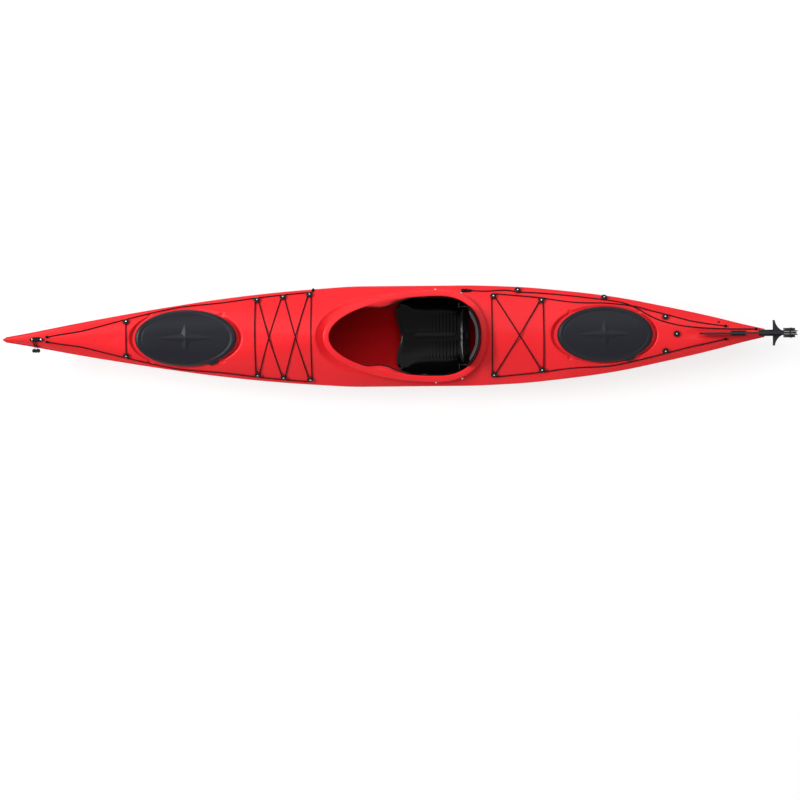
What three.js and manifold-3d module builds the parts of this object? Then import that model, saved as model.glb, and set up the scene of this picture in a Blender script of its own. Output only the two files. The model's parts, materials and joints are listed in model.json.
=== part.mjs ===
// A rudder-equipped sea kayak, built as the separate pieces that come apart on a bench.
// Millimetres, +X from the bow to the stern, +Y to starboard, +Z up.
// Pieces are placed by their station, the distance aft of the bow tip, and the whole
// boat is then centred, so that the origin lies under its middle at keel level.
import * as THREE from "three";
import { mergeVertices } from "three/addons/utils/BufferGeometryUtils.js";
import Module from "manifold-3d";

const wasm = await Module();
wasm.setup();

// Driving dimensions of the moulded boat.
const hullLength = 4500;
const halfBeam = 300;
const bowHeight = 394;
const shellWall = 5;
const gap = 0.3;
const overrun = 30;
const seamRise = 26;
const seamInset = 7;
const seamRiseShare = 0.3;
const ridgeRoundShare = 0.16;

// Lines of the boat: each row is a station as a share of the length, then a share of the
// half beam, of the bow's height, or of the half breadth at the crease.
const creaseBeamShares = [
  [0, 0.03], [0.03, 0.12], [0.09, 0.3], [0.155, 0.476], [0.218, 0.631], [0.281, 0.767],
  [0.344, 0.874], [0.407, 0.951], [0.47, 1], [0.6, 1], [0.67, 0.965], [0.735, 0.877],
  [0.8, 0.75], [0.865, 0.557], [0.93, 0.33], [0.97, 0.17], [1, 0.06],
];
const keelHeightShares = [
  [0, 0.926], [0.026, 0.688], [0.052, 0.467], [0.078, 0.305], [0.104, 0.185], [0.14, 0.13],
  [0.2, 0.085], [0.3, 0.05], [0.42, 0], [0.62, 0], [0.74, 0.03], [0.84, 0.11],
  [0.94, 0.19], [0.985, 0.235], [0.99, 0.3], [1, 0.74],
];
const ridgeHeightShares = [
  [0, 1], [0.03, 0.97], [0.07, 0.92], [0.12, 0.865], [0.17, 0.853], [0.24, 0.86],
  [0.31, 0.905], [0.36, 0.97], [0.405, 1], [0.45, 1], [0.53, 0.94], [0.62, 0.865],
  [0.65, 0.838], [0.7, 0.793], [0.8, 0.79], [0.86, 0.78], [0.91, 0.777], [0.94, 0.808],
  [0.975, 0.835], [1, 0.838],
];
const creaseHeightShares = [
  [0, 0.955], [0.03, 0.84], [0.078, 0.741], [0.13, 0.68], [0.182, 0.645], [0.26, 0.604],
  [0.36, 0.572], [0.44, 0.552], [0.545, 0.515], [0.65, 0.515], [0.75, 0.558], [0.856, 0.594],
  [0.908, 0.632], [0.96, 0.715], [1, 0.79],
];
const chineHeightShares = [
  [0, 0.94], [0.026, 0.72], [0.052, 0.58], [0.09, 0.48], [0.13, 0.42], [0.182, 0.355],
  [0.26, 0.29], [0.337, 0.238], [0.4, 0.2], [0.62, 0.2], [0.7, 0.235], [0.8, 0.284],
  [0.856, 0.33], [0.908, 0.39], [0.96, 0.5], [0.985, 0.56], [1, 0.765],
];
const chineBeamShares = [
  [0, 0.6], [0.05, 0.55], [0.13, 0.66], [0.233, 0.79], [0.337, 0.86], [0.45, 0.89],
  [0.6, 0.89], [0.7, 0.87], [0.8, 0.81], [0.9, 0.66], [0.97, 0.5], [1, 0.6],
];
const crownPowerShares = [
  [0, 1.6], [0.1, 2.1], [0.16, 2.6], [0.28, 2.6], [0.34, 1.5], [0.4, 1.25],
  [0.5, 1.5], [0.64, 1.4], [0.7, 1.4], [0.75, 2.2], [0.87, 2.6], [0.95, 2], [1, 1.6],
];

// Cockpit coaming: its opening in plan and the height of its rim along the opening.
const cockpitPlaceShares = [0.425556, 0.568889, 0.624889];
const [cockpitFront, cockpitWidest, cockpitRear] = cockpitPlaceShares.map((share) => share * hullLength);
const cockpitSideDeck = 64;
const cockpitHalfWidth = halfBeam - cockpitSideDeck;
const coamingWall = 6;
const lipWidth = 34;
const lipThickness = 6;
const lipDrop = 17;
const lipSlope = 3;
const coamingSeat = 4;
const cockpitSquareness = 2.25;
const rimHeightShares = [
  [0, 1.05], [0.2, 0.96], [0.35, 0.89], [0.5, 0.833], [0.65, 0.8], [0.79, 0.787],
  [0.9, 0.81], [0.96, 0.86], [1, 0.905],
];

// Hatches: oval rubber covers over oval moulded rims.
const hatchEndShares = { front: [0.171333, 0.304667], rear: [0.724889, 0.850667] };
const hatchSideDecks = { front: 35, rear: 67.3 };
const hatchAt = (name) => {
  const [from, to] = hatchEndShares[name].map((share) => share * hullLength);
  const station = (from + to) / 2;
  return { station, halfLength: (to - from) / 2, halfWidth: lines(station).beam - hatchSideDecks[name] };
};
const hatchRimInset = 24;
const hatchRimWall = 5;
const hatchRimHeight = 11;
const hatchRimLip = 5;
const hatchLipThickness = 4;
const hatchSeat = 3;
const coverWall = 4;
const coverEdgeHeight = 15;
const coverCrown = 6;
const coverEdgeRadius = 7;
const coverClearance = 1.2;
const starRelief = 7;
const starLengthShare = 0.67;
const starWidthShare = 0.62;
const starPower = 0.62;
const tabLength = 60;
const tabWidth = 13;
const tabRoot = 3;
const tabLow = 4;
const tabThickness = 5;
const tabSteps = 3;
const tabPlaceShares = [-0.52, 0.52];

// Monotone cubic through a table of rows, so that a fair line never overshoots.
function along(table, t) {
  const last = table.length - 2;
  let i = 0;
  while (i < last && t > table[i + 1][0]) i += 1;
  const slope = (k) => (table[k + 1][1] - table[k][1]) / (table[k + 1][0] - table[k][0]);
  const tangent = (k) => {
    if (k === 0) return slope(0);
    if (k > last) return slope(last);
    const before = slope(k - 1);
    const after = slope(k);
    return before * after <= 0 ? 0 : (2 * before * after) / (before + after);
  };
  const width = table[i + 1][0] - table[i][0];
  const u = Math.min(1, Math.max(0, (t - table[i][0]) / width));
  const a = table[i][1] * (1 + 2 * u) * (1 - u) ** 2 + table[i + 1][1] * u * u * (3 - 2 * u);
  return a + width * (tangent(i) * u * (1 - u) ** 2 - tangent(i + 1) * u * u * (1 - u));
}

const hatches = { front: hatchAt("front"), rear: hatchAt("rear") };

// The main points of the boat's section at a station.
function lines(station) {
  const t = station / hullLength;
  const ridge = along(ridgeHeightShares, t) * bowHeight;
  const crease = along(creaseHeightShares, t) * bowHeight;
  const beam = along(creaseBeamShares, t) * halfBeam;
  const rise = Math.min(seamRise, seamRiseShare * (ridge - crease));
  return {
    keel: along(keelHeightShares, t) * bowHeight,
    chine: along(chineHeightShares, t) * bowHeight,
    chineBeam: along(chineBeamShares, t) * beam,
    crease,
    beam,
    seam: crease + rise,
    seamBeam: beam - (seamInset * rise) / seamRise,
    ridge,
    power: along(crownPowerShares, t),
  };
}

const ridgeRounding = (u) => Math.hypot(u, ridgeRoundShare) - ridgeRoundShare;

function crownHeight(at, side) {
  const u = Math.min(1, Math.abs(side) / at.seamBeam);
  const drop = (ridgeRounding(u) / ridgeRounding(1)) ** at.power;
  return at.ridge - (at.ridge - at.seam) * drop;
}

const deckHeight = (station, side) => crownHeight(lines(station), side);

// Starboard half of the hull's section from the keel to the seam, as [side, height].
const bottomSteps = 4;
const keelFlat = 42;
const keelFlatShare = 0.3;
const sideSteps = 3;
const bottomHollowShare = 0.06;
const sideSwellShare = 0.035;

function hullHalf(station) {
  const at = lines(station);
  const flat = Math.min(keelFlat, at.chineBeam * keelFlatShare);
  const points = [[0, at.keel]];
  for (let i = 0; i < bottomSteps; i += 1) {
    const u = i / bottomSteps;
    const swell = bottomHollowShare * (at.chine - at.keel) * Math.sin(Math.PI * u);
    points.push([flat + (at.chineBeam - flat) * u, at.keel + (at.chine - at.keel) * u - swell]);
  }
  for (let i = 0; i < sideSteps; i += 1) {
    const u = i / sideSteps;
    const swell = sideSwellShare * (at.crease - at.chine) * Math.sin(Math.PI * u);
    const side = at.chineBeam + (at.beam - at.chineBeam) * u + swell;
    points.push([side, at.chine + (at.crease - at.chine) * u]);
  }
  points.push([at.beam, at.crease]);
  points.push([at.seamBeam, at.seam]);
  return points;
}

// Starboard half of the deck's section from the seam to the ridge.
const deckSteps = 8;

function deckHalf(station) {
  const at = lines(station);
  const points = [];
  for (let i = 0; i <= deckSteps; i += 1) {
    const u = Math.cos((Math.PI / 2) * (i / deckSteps));
    points.push([at.seamBeam * u, crownHeight(at, at.seamBeam * u)]);
  }
  points[deckSteps][0] = 0;
  return points;
}

// Moves an open outline inwards, towards the boat's middle, by a wall's thickness.
const mitreLimit = 1.5;
const centreReach = 0.5;

function inset(points, depth) {
  const normal = (a, b) => {
    const run = Math.hypot(b[0] - a[0], b[1] - a[1]);
    return [-(b[1] - a[1]) / run, (b[0] - a[0]) / run];
  };
  return points.map((point, i) => {
    const before = normal(points[Math.max(i - 1, 0)], points[Math.max(i, 1)]);
    const end = points.length - 1;
    const after = normal(points[Math.min(i, end - 1)], points[Math.min(i + 1, end)]);
    const sum = [before[0] + after[0], before[1] + after[1]];
    const size = Math.hypot(...sum);
    const reach = Math.min(mitreLimit, 2 / size) * depth;
    const onCentre = Math.abs(point[0]) < centreReach;
    if (onCentre) return [0, point[1] + Math.sign(sum[1]) * reach];
    const way = [sum[0] / size, sum[1] / size];
    return [Math.max(centreReach, point[0] + way[0] * reach), point[1] + way[1] * reach];
  });
}

function mirrored(points, station) {
  const ring = points.map(([side, height]) => new THREE.Vector3(station, side, height));
  const port = points
    .filter(([side]) => side >= centreReach)
    .map(([side, height]) => new THREE.Vector3(station, -side, height))
    .reverse();
  return { ring, port };
}

// A closed ring of the hull below the seam, or of the space inside its wall.
function hullRing(station, depth, rise) {
  const half = depth ? inset(hullHalf(station), depth) : hullHalf(station);
  const top = half[half.length - 1];
  top[1] = lines(station).seam;
  if (rise) half.push([top[0], top[1] + rise]);
  const { ring, port } = mirrored(half, station);
  return [...port, ...ring];
}

// A closed ring of the deck above the seam, or of the space inside its wall.
function deckRing(station, depth, drop, lift) {
  const half = depth ? inset(deckHalf(station), depth) : deckHalf(station);
  half[0][1] = lines(station).seam + lift;
  if (drop) half.unshift([half[0][0], half[0][1] - drop]);
  const { ring, port } = mirrored(half, station);
  return [...ring, ...port];
}

// A closed ring just clear of the inner faces of both shells.
function insideRing(station, depth) {
  const hull = inset(hullHalf(station), depth);
  const deck = inset(deckHalf(station), depth);
  hull[hull.length - 1][1] = lines(station).seam;
  hull[hull.length - 1][0] = Math.min(hull[hull.length - 1][0], deck[0][0]);
  const { ring, port } = mirrored([...hull, ...deck.slice(1)], station);
  return [...ring, ...port];
}

// Stations of the lofts: close together at the raked ends.
const spread = (from, to, steps) =>
  Array.from({ length: steps }, (_, i) => from + ((to - from) * i) / steps);
const endStations = [0, 0.006, 0.014];
const bowShares = spread(0.026, 0.13, 5);
const middleShares = spread(0.13, 0.94, 19);
const sternShares = [0.94, 0.96, 0.975, 0.985, 0.99, 0.995, 1];
const outerShares = [...endStations, ...bowShares, ...middleShares, ...sternShares];
const innerFromShare = 0.026;
const innerToShare = 0.975;
const outerStations = outerShares.map((share) => share * hullLength);
const innerStations = outerShares
  .filter((share) => share >= innerFromShare && share <= innerToShare)
  .map((share) => share * hullLength);

// A closed skin over rings of points, capped at both ends or run round on itself.
function skin(rings, round = false, closeEnd = cap) {
  const count = rings[0].length;
  const points = rings.flat();
  const faces = [];
  const bands = round ? rings.length : rings.length - 1;
  for (let r = 0; r < bands; r += 1) {
    const next = (r + 1) % rings.length;
    for (let i = 0; i < count; i += 1) {
      const j = (i + 1) % count;
      faces.push([r * count + i, next * count + i, next * count + j]);
      faces.push([r * count + i, next * count + j, r * count + j]);
    }
  }
  if (!round) {
    closeEnd(rings[0], 0, points, faces, true);
    closeEnd(rings[rings.length - 1], (rings.length - 1) * count, points, faces, false);
  }
  return closedGeometry(points.flatMap((point) => point.toArray()), faces);
}

// Triangles from a ring to its own middle.
function cap(ring, start, points, faces, turned) {
  const middle = points.length;
  const sum = ring.reduce((total, point) => total.add(point), new THREE.Vector3());
  points.push(sum.divideScalar(ring.length));
  ring.forEach((_, i) => {
    const j = (i + 1) % ring.length;
    faces.push(turned ? [start + i, start + j, middle] : [start + j, start + i, middle]);
  });
}

// Triangles across a thin wall, whose ring runs along one face and back along the other.
function wallCap(ring, start, points, faces, turned) {
  const last = start + ring.length - 1;
  for (let i = 0; i < ring.length / 2 - 1; i += 1) {
    const [a, b, c, d] = [start + i, start + i + 1, last - i - 1, last - i];
    faces.push(...(turned ? [[a, b, c], [a, c, d]] : [[a, c, b], [a, d, c]]));
  }
}

// An indexed geometry whose faces point out, whichever way the rings ran.
function closedGeometry(positions, faces) {
  const at = (i) => new THREE.Vector3().fromArray(positions, i * 3);
  let volume = 0;
  faces.forEach(([a, b, c]) => {
    volume += at(a).dot(at(b).cross(at(c)));
  });
  const index = volume < 0 ? faces.flatMap(([a, b, c]) => [a, c, b]) : faces.flat();
  const geometry = new THREE.BufferGeometry();
  geometry.setAttribute("position", new THREE.Float32BufferAttribute(positions, 3));
  geometry.setIndex(index);
  return geometry;
}

function toSolid(geometry) {
  const bare = geometry.clone();
  bare.deleteAttribute("normal");
  bare.deleteAttribute("uv");
  const merged = mergeVertices(bare);
  return new wasm.Manifold(new wasm.Mesh({
    numProp: 3,
    vertProperties: Float32Array.from(merged.attributes.position.array),
    triVerts: Uint32Array.from(merged.index.array),
  }));
}

function toGeometry(solid) {
  const mesh = solid.getMesh();
  const geometry = new THREE.BufferGeometry();
  geometry.setAttribute("position", new THREE.Float32BufferAttribute(mesh.vertProperties, 3));
  geometry.setIndex(Array.from(mesh.triVerts));
  return geometry;
}

const joined = (solids) => solids.reduce((sum, solid) => sum.add(solid));

// The space inside both shells, a fitting gap clear of their walls.
const insideGeometry = skin(innerStations.map((s) => insideRing(s, shellWall + gap)));
const insideSolid = toSolid(insideGeometry);

// Direction that the deck faces.
const normalProbe = 2;

function deckNormal(station, side) {
  const slopeAlong = deckHeight(station + normalProbe, side) - deckHeight(station - normalProbe, side);
  const slopeAcross = deckHeight(station, side + normalProbe) - deckHeight(station, side - normalProbe);
  return new THREE.Vector3(-slopeAlong, -slopeAcross, 2 * normalProbe).normalize();
}

// Plan outline of the cockpit opening, moved outwards by a distance.
function cockpitPoint(angle, outward) {
  const aft = Math.cos(angle) > 0;
  const power = aft ? 2 / cockpitSquareness : 1;
  const reach = (aft ? cockpitRear - cockpitWidest : cockpitWidest - cockpitFront) + outward;
  const along_ = Math.sign(Math.cos(angle)) * Math.abs(Math.cos(angle)) ** power;
  const across = Math.sign(Math.sin(angle)) * Math.abs(Math.sin(angle)) ** power;
  return [cockpitWidest + reach * along_, (cockpitHalfWidth + outward) * across];
}

function rimHeight(station) {
  const span = cockpitRear - cockpitFront + 2 * lipWidth;
  return along(rimHeightShares, (station - cockpitFront + lipWidth) / span) * bowHeight;
}

const coamingSteps = 48;
const loopAngles = (steps) => Array.from({ length: steps }, (_, i) => (2 * Math.PI * i) / steps);

// The coaming is a thin wall that stands on the deck and turns over into a lip.
function coamingRing(angle) {
  const place = (outward, height) => {
    const [station, side] = cockpitPoint(angle, outward);
    return new THREE.Vector3(station, side, height);
  };
  const rim = rimHeight(cockpitPoint(angle, lipWidth / 2)[0]);
  const [station, side] = cockpitPoint(angle, coamingWall / 2);
  const foot = deckHeight(station, side) - shellWall - coamingSeat;
  return [
    place(0, rim),
    place(lipWidth, rim - lipSlope),
    place(lipWidth, rim - lipDrop),
    place(lipWidth - lipThickness, rim - lipDrop),
    place(lipWidth - lipThickness, rim - lipSlope - lipThickness),
    place(coamingWall, rim - lipThickness),
    place(coamingWall, foot),
    place(0, foot),
  ];
}

// A prism that stands through the deck over an outline in plan.
function deckPrism(outline) {
  const low = outline.map(([station, side]) => new THREE.Vector3(station, side, 0));
  const high = outline.map(([station, side]) => new THREE.Vector3(station, side, 2 * bowHeight));
  return toSolid(skin([low, high]));
}

const cockpitHole = deckPrism(loopAngles(coamingSteps).map((a) => cockpitPoint(a, coamingWall / 3)));

// Plan outline of a hatch, moved inwards from its cover's edge.
const hatchSteps = 32;

function hatchPoint(hatch, angle, inward) {
  return [
    hatch.station + (hatch.halfLength - inward) * Math.cos(angle),
    (hatch.halfWidth - inward) * Math.sin(angle),
  ];
}

function hatchHole(hatch) {
  const inward = hatchRimInset - hatchRimWall / 2;
  return deckPrism(loopAngles(hatchSteps).map((a) => hatchPoint(hatch, a, inward)));
}

// The rim that a hatch cover grips: a low wall with a small outward bead.
function hatchRimRing(hatch, angle) {
  const place = (inward, lift) => {
    const [station, side] = hatchPoint(hatch, angle, inward);
    return new THREE.Vector3(station, side, deckHeight(station, side) + lift);
  };
  const inner = hatchRimInset;
  const outer = hatchRimInset - hatchRimWall;
  const bead = outer - hatchRimLip;
  const foot = -shellWall - hatchSeat;
  return [
    place(inner, hatchRimHeight),
    place(bead, hatchRimHeight),
    place(bead, hatchRimHeight - hatchLipThickness),
    place(outer, hatchRimHeight - hatchLipThickness),
    place(outer, foot),
    place(inner, foot),
  ];
}

const hatchRim = (hatch) =>
  toSolid(skin(loopAngles(hatchSteps).map((a) => hatchRimRing(hatch, a)), true));

// Four-pointed star raised on a cover, tallest at its middle.
function starHeight(hatch, station, side) {
  const x = Math.abs(station - hatch.station) / (hatch.halfLength * starLengthShare);
  const y = Math.abs(side) / (hatch.halfWidth * starWidthShare);
  const reach = (x ** starPower + y ** starPower) ** (1 / starPower);
  return starRelief * Math.max(0, 1 - reach);
}

// A cover is a crowned cup whose skirt closes round the rim. Its rings are shares of the
// oval over its top, and measures in from its edge round the skirt.
const coverTopShares = [0.12, 0.26, 0.42, 0.6, 0.8, 0.93];
const skirtInset = hatchRimInset - hatchRimWall - hatchRimLip - coverClearance;

const byShare = (share) => (hatch, angle) => [
  hatch.station + hatch.halfLength * share * Math.cos(angle),
  hatch.halfWidth * share * Math.sin(angle),
];
const byInset = (inward) => (hatch, angle) => hatchPoint(hatch, angle, inward);

function coverTop(hatch) {
  return (station, side) => {
    const x = (station - hatch.station) / hatch.halfLength;
    const y = side / hatch.halfWidth;
    const crown = coverCrown * Math.max(0, 1 - x * x - y * y);
    return coverEdgeHeight + coverWall + crown + starHeight(hatch, station, side);
  };
}

function coverProfile(hatch) {
  const top = coverTop(hatch);
  const under = () => coverEdgeHeight;
  const foot = () => coverClearance;
  return [
    ...coverTopShares.map((share) => [byShare(share), top]),
    [byInset(coverEdgeRadius / 2), () => coverEdgeHeight + coverWall / 2],
    [byInset(0), () => coverEdgeHeight - coverEdgeRadius],
    [byInset(0), foot],
    [byInset(skirtInset), foot],
    [byInset(skirtInset), under],
    [byShare(coverTopShares[4]), under],
    [byShare(coverTopShares[2]), under],
  ];
}

// Pull tabs stand out from the skirt on the port side.
function pullTab(hatch, placeShare) {
  const middle = -Math.acos(placeShare);
  const half = tabLength / 2 / hatch.halfLength;
  const corners = [
    [tabRoot, tabLow], [-tabWidth, tabLow],
    [-tabWidth, tabLow + tabThickness], [tabRoot, tabLow + tabThickness],
  ];
  const angles = [...spread(middle - half, middle + half, tabSteps), middle + half];
  return toSolid(skin(angles.map((angle) => corners.map(([inward, lift]) => {
    const [station, side] = hatchPoint(hatch, angle, inward);
    return new THREE.Vector3(station, side, deckHeight(station, side) + lift);
  }))));
}

function hatchCover(hatch) {
  const angles = loopAngles(hatchSteps);
  const raised = ([station, side], lift) =>
    new THREE.Vector3(station, side, deckHeight(station, side) + lift(station, side));
  const rings = coverProfile(hatch).map(([plan, lift]) =>
    angles.map((angle) => raised(plan(hatch, angle), lift)));
  const tabs = tabPlaceShares.map((share) => pullTab(hatch, share));
  return toSolid(skin(rings)).add(joined(tabs));
}

const kayak = new THREE.Group();

const red = { color: 0xd10a22, roughness: 0.32, metalness: 0 };
const rubber = { color: 0x2b2d31, roughness: 0.75, metalness: 0 };
const plastic = { color: 0x111214, roughness: 0.42, metalness: 0 };
const foam = { color: 0x33353a, roughness: 0.9, metalness: 0 };
const cordBlack = { color: 0x0e0e10, roughness: 0.8, metalness: 0 };
const steel = { color: 0xb9bcc0, roughness: 0.28, metalness: 1 };

function add(name, shape, finish) {
  const geometry = shape.isBufferGeometry ? shape : toGeometry(shape);
  const mesh = new THREE.Mesh(geometry, new THREE.MeshStandardMaterial(finish));
  mesh.name = name;
  kayak.add(mesh);
  return mesh;
}

const deckSkin = new THREE.Mesh(skin(outerStations.map((s) => deckRing(s, 0, 0, gap))));
const plumbLine = new THREE.Raycaster();
const down = new THREE.Vector3(0, 0, -1);
const up = new THREE.Vector3(0, 0, 1);

// Height of the faceted deck under a point in plan, on the moulding itself.
function deckTop(station, side) {
  plumbLine.set(new THREE.Vector3(station, side, 2 * bowHeight), down);
  const hits = plumbLine.intersectObject(deckSkin);
  return hits.length ? hits[0].point.z : deckHeight(station, side);
}

function onDeck(station, side, lift) {
  const point = new THREE.Vector3(station, side, deckTop(station, side));
  return point.addScaledVector(deckNormal(station, side), lift);
}

// Simple solids: a box from its low and high corners, and a cylinder along an axis.
function box(low, high) {
  const shape = new THREE.BoxGeometry(...high.map((value, i) => value - low[i]));
  return shape.translate(...high.map((value, i) => (value + low[i]) / 2));
}

const block = (low, high) => toSolid(box(low, high));

function rod(radius, length, axis, centre, sides = 20) {
  const shape = new THREE.CylinderGeometry(radius, radius, length, sides);
  if (axis === "x") shape.rotateZ(Math.PI / 2);
  if (axis === "z") shape.rotateX(Math.PI / 2);
  shape.translate(...centre);
  return toSolid(shape);
}

// A plate of an outline in station and height, with softened edges, centred on a side.
function plate(outline, thickness, edge, side) {
  const shape = new THREE.Shape(outline.map(([x, z]) => new THREE.Vector2(x, z)));
  const solid = new THREE.ExtrudeGeometry(shape, {
    depth: thickness - 2 * edge,
    bevelEnabled: edge > 0,
    bevelThickness: edge,
    bevelSize: edge,
    bevelOffset: -edge,
    bevelSegments: 1,
    curveSegments: 6,
  });
  solid.translate(0, 0, edge - thickness / 2);
  solid.rotateX(Math.PI / 2);
  solid.translate(0, side, 0);
  return toSolid(solid);
}

function buildHull() {
  const outer = toSolid(skin(outerStations.map((s) => hullRing(s, 0, 0))));
  const hollow = toSolid(skin(innerStations.map((s) => hullRing(s, shellWall, overrun))));
  return outer.subtract(hollow);
}

function buildDeck() {
  const outer = toSolid(deckSkin.geometry);
  const hollow = toSolid(skin(innerStations.map((s) => deckRing(s, shellWall, overrun, gap))));
  const holes = joined([cockpitHole, hatchHole(hatches.front), hatchHole(hatches.rear)]);
  const coaming = toSolid(skin(loopAngles(coamingSteps).map(coamingRing), true));
  const rims = joined([hatchRim(hatches.front), hatchRim(hatches.rear)]);
  return outer.subtract(hollow).subtract(holes).add(coaming).add(rims);
}

// Foam bulkheads fill the section between the compartments.
const bulkheadThickness = 30;
const bulkheadPlaceShares = { fore_bulkhead: 0.316667, aft_bulkhead: 0.646667 };

function buildBulkhead(station) {
  const half = [bulkheadThickness / 2, halfBeam, bowHeight];
  const low = [station - half[0], -half[1], -overrun];
  return block(low, [station + half[0], half[1], half[2]]).intersect(insideSolid);
}

// Deck fittings: round buttons on necks, which the deck lines pass round.
const buttonRadius = 19;
const buttonHeight = 17;
const buttonNeck = 6;
const buttonUnder = 8.5;
const buttonSides = 9;
const pairPlaceShares = {
  fore_1: [0.1593, 0.32],
  fore_2: [0.331, 0.72],
  fore_3: [0.365, 0.775],
  fore_4: [0.4, 0.82],
  aft_1: [0.642, 0.763],
  aft_2: [0.7053, 0.677],
  aft_3: [0.8673, 0.327],
};
const singlePlaceShares = {
  lift_line_guide_fore: [0.6744, 0.88],
  lift_line_guide_aft: [0.788, 0.715],
  deck_button_centre: [0.882, 0],
};
const placeOf = ([stationShare, sideShare], hand = 1) =>
  [stationShare * hullLength, sideShare * halfBeam * hand];

function addButton(name, [station, side]) {
  const shoulder = buttonUnder + (buttonHeight - buttonUnder) / 2;
  const profile = [
    new THREE.Vector2(0, 0),
    new THREE.Vector2(buttonNeck, 0),
    new THREE.Vector2(buttonNeck, buttonUnder),
    new THREE.Vector2(buttonRadius, buttonUnder + gap),
    new THREE.Vector2(buttonRadius - buttonNeck / 3, shoulder),
    new THREE.Vector2(buttonRadius / 2, buttonHeight - buttonNeck / 5),
    new THREE.Vector2(0, buttonHeight),
  ];
  const shape = new THREE.LatheGeometry(profile, buttonSides);
  shape.rotateX(Math.PI / 2);
  const mesh = add(name, toSolid(shape), plastic);
  mesh.position.copy(onDeck(station, side, gap));
  mesh.quaternion.setFromUnitVectors(up, deckNormal(station, side));
}

function addButtons() {
  Object.entries(pairPlaceShares).forEach(([name, place]) => {
    addButton(`deck_button_${name}_port`, placeOf(place, -1));
    addButton(`deck_button_${name}_starboard`, placeOf(place));
  });
  Object.entries(singlePlaceShares).forEach(([name, place]) => addButton(name, placeOf(place)));
}

// Deck lines: 6 mm cord that lies on the deck and passes round the necks of the buttons.
const cordRadius = 3;
const cordSides = 6;
const cordClear = 1;
const cordLift = cordRadius + cordClear;
const humpClear = 2.5;
const hump = 2 * cordRadius + humpClear;
const humpReach = 55;
const cordStep = 14;
const cordTolerance = 0.6;
const turnClear = 1.3;
const turnRadius = buttonNeck + cordRadius + turnClear;
const lineReach = turnRadius + 2 * cordRadius + cordClear;

function tube(points, radius, sides, round) {
  const last = points.length - 1;
  const rings = points.map((point, i) => {
    const before = points[round ? (i + last) % points.length : Math.max(i - 1, 0)];
    const after = points[round ? (i + 1) % points.length : Math.min(i + 1, last)];
    const forward = after.clone().sub(before).normalize();
    const across = forward.clone().cross(up).normalize();
    const over = across.clone().cross(forward);
    return loopAngles(sides).map((angle) => point.clone()
      .addScaledVector(across, radius * Math.cos(angle))
      .addScaledVector(over, radius * Math.sin(angle)));
  });
  return toSolid(skin(rings, round));
}

// Drops the points of a cord that lie on the straight between their neighbours.
function thinned(points) {
  const [first, last] = [points[0], points[points.length - 1]];
  const straight = new THREE.Line3(first, last);
  const nearest = new THREE.Vector3();
  let far = 0;
  let most = 0;
  points.forEach((point, i) => {
    const away = straight.closestPointToPoint(point, true, nearest).distanceTo(point);
    if (away > most) [far, most] = [i, away];
  });
  if (most < cordTolerance) return [first, last];
  return [...thinned(points.slice(0, far + 1)).slice(0, -1), ...thinned(points.slice(far))];
}

// Points of a cord laid on the deck from place to place, raised where it crosses another.
function laid(places, crossings = []) {
  const points = [];
  const ends = places.length - 1;
  for (let i = 0; i < ends; i += 1) {
    const [from, to] = [places[i], places[i + 1]];
    const steps = Math.max(1, Math.round(Math.hypot(to[0] - from[0], to[1] - from[1]) / cordStep));
    for (let k = 0; k < steps; k += 1) {
      points.push([from[0] + ((to[0] - from[0]) * k) / steps, from[1] + ((to[1] - from[1]) * k) / steps]);
    }
  }
  points.push(places[ends]);
  return thinned(points.map(([station, side]) => {
    const near = crossings.map(([x, y]) => Math.hypot(station - x, side - y) / humpReach);
    const rise = near.reduce((most, reach) => Math.max(most, hump * Math.exp(-reach * reach)), 0);
    return onDeck(station, side, cordLift + rise);
  }));
}

// A cord's turn round a button, from its bow side to its stern side or back.
function turn([station, side], backwards = false) {
  const hand = Math.sign(side);
  const turnShares = [[-1, -0.4], [-0.8, 0.6], [0, 1.05], [0.8, 0.6], [1, -0.4]];
  const places = turnShares.map(([x, y]) => [station + turnRadius * x, side + hand * turnRadius * y]);
  return backwards ? places.reverse() : places;
}

const outsideOf = ([station, side]) => [station, side + Math.sign(side) * lineReach];

// Where a straight leg between two buttons crosses the leg that mirrors it.
function crossingOf(first, second) {
  const share = first[1] / (first[1] + second[1]);
  return [first[0] + (second[0] - first[0]) * share, 0];
}

function addBungees() {
  const at = (name, hand) => placeOf(pairPlaceShares[name], hand);
  const [f2, f3, f4] = ["fore_2", "fore_3", "fore_4"].map((name) => at(name, 1));
  const [p2, p3, p4] = ["fore_2", "fore_3", "fore_4"].map((name) => at(name, -1));
  const foreTop = laid([...turn(f2), ...turn(p3), ...turn(f4)], [crossingOf(f2, f3), crossingOf(f3, f4)]);
  const foreUnder = laid([...turn(p4, true), ...turn(f3, true), ...turn(p2, true)]);
  const closing = laid([turn(f4).at(-1), turn(p4, true)[0]]).slice(1, -1);
  const opening = laid([turn(p2, true).at(-1), turn(f2)[0]]).slice(1, -1);
  const fore = [...foreTop, ...closing, ...foreUnder, ...opening];
  add("fore_bungee", tube(fore, cordRadius, cordSides, true), cordBlack);

  const [a1, a2, b1, b2] = [at("aft_1", 1), at("aft_2", 1), at("aft_1", -1), at("aft_2", -1)];
  const over = laid([turn(b1).at(-1), turn(a2)[0]], [crossingOf(a1, a2)]).slice(1, -1);
  const aft = [
    ...laid([...turn(a1, true), ...turn(b1)]),
    ...over,
    ...laid([...turn(a2), ...turn(b2, true)]),
    ...laid([turn(b2, true).at(-1), turn(a1, true)[0]]).slice(1, -1),
  ];
  add("aft_bungee", tube(aft, cordRadius, cordSides, true), cordBlack);
  const [c1, c2] = [at("fore_1", -1), at("fore_1", 1)];
  const inner = (place) => [place[0], place[1] - Math.sign(place[1]) * turnRadius];
  add("fore_cross_line", tube(laid([inner(c1), inner(c2)]), cordRadius, cordSides), cordBlack);
}

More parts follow.
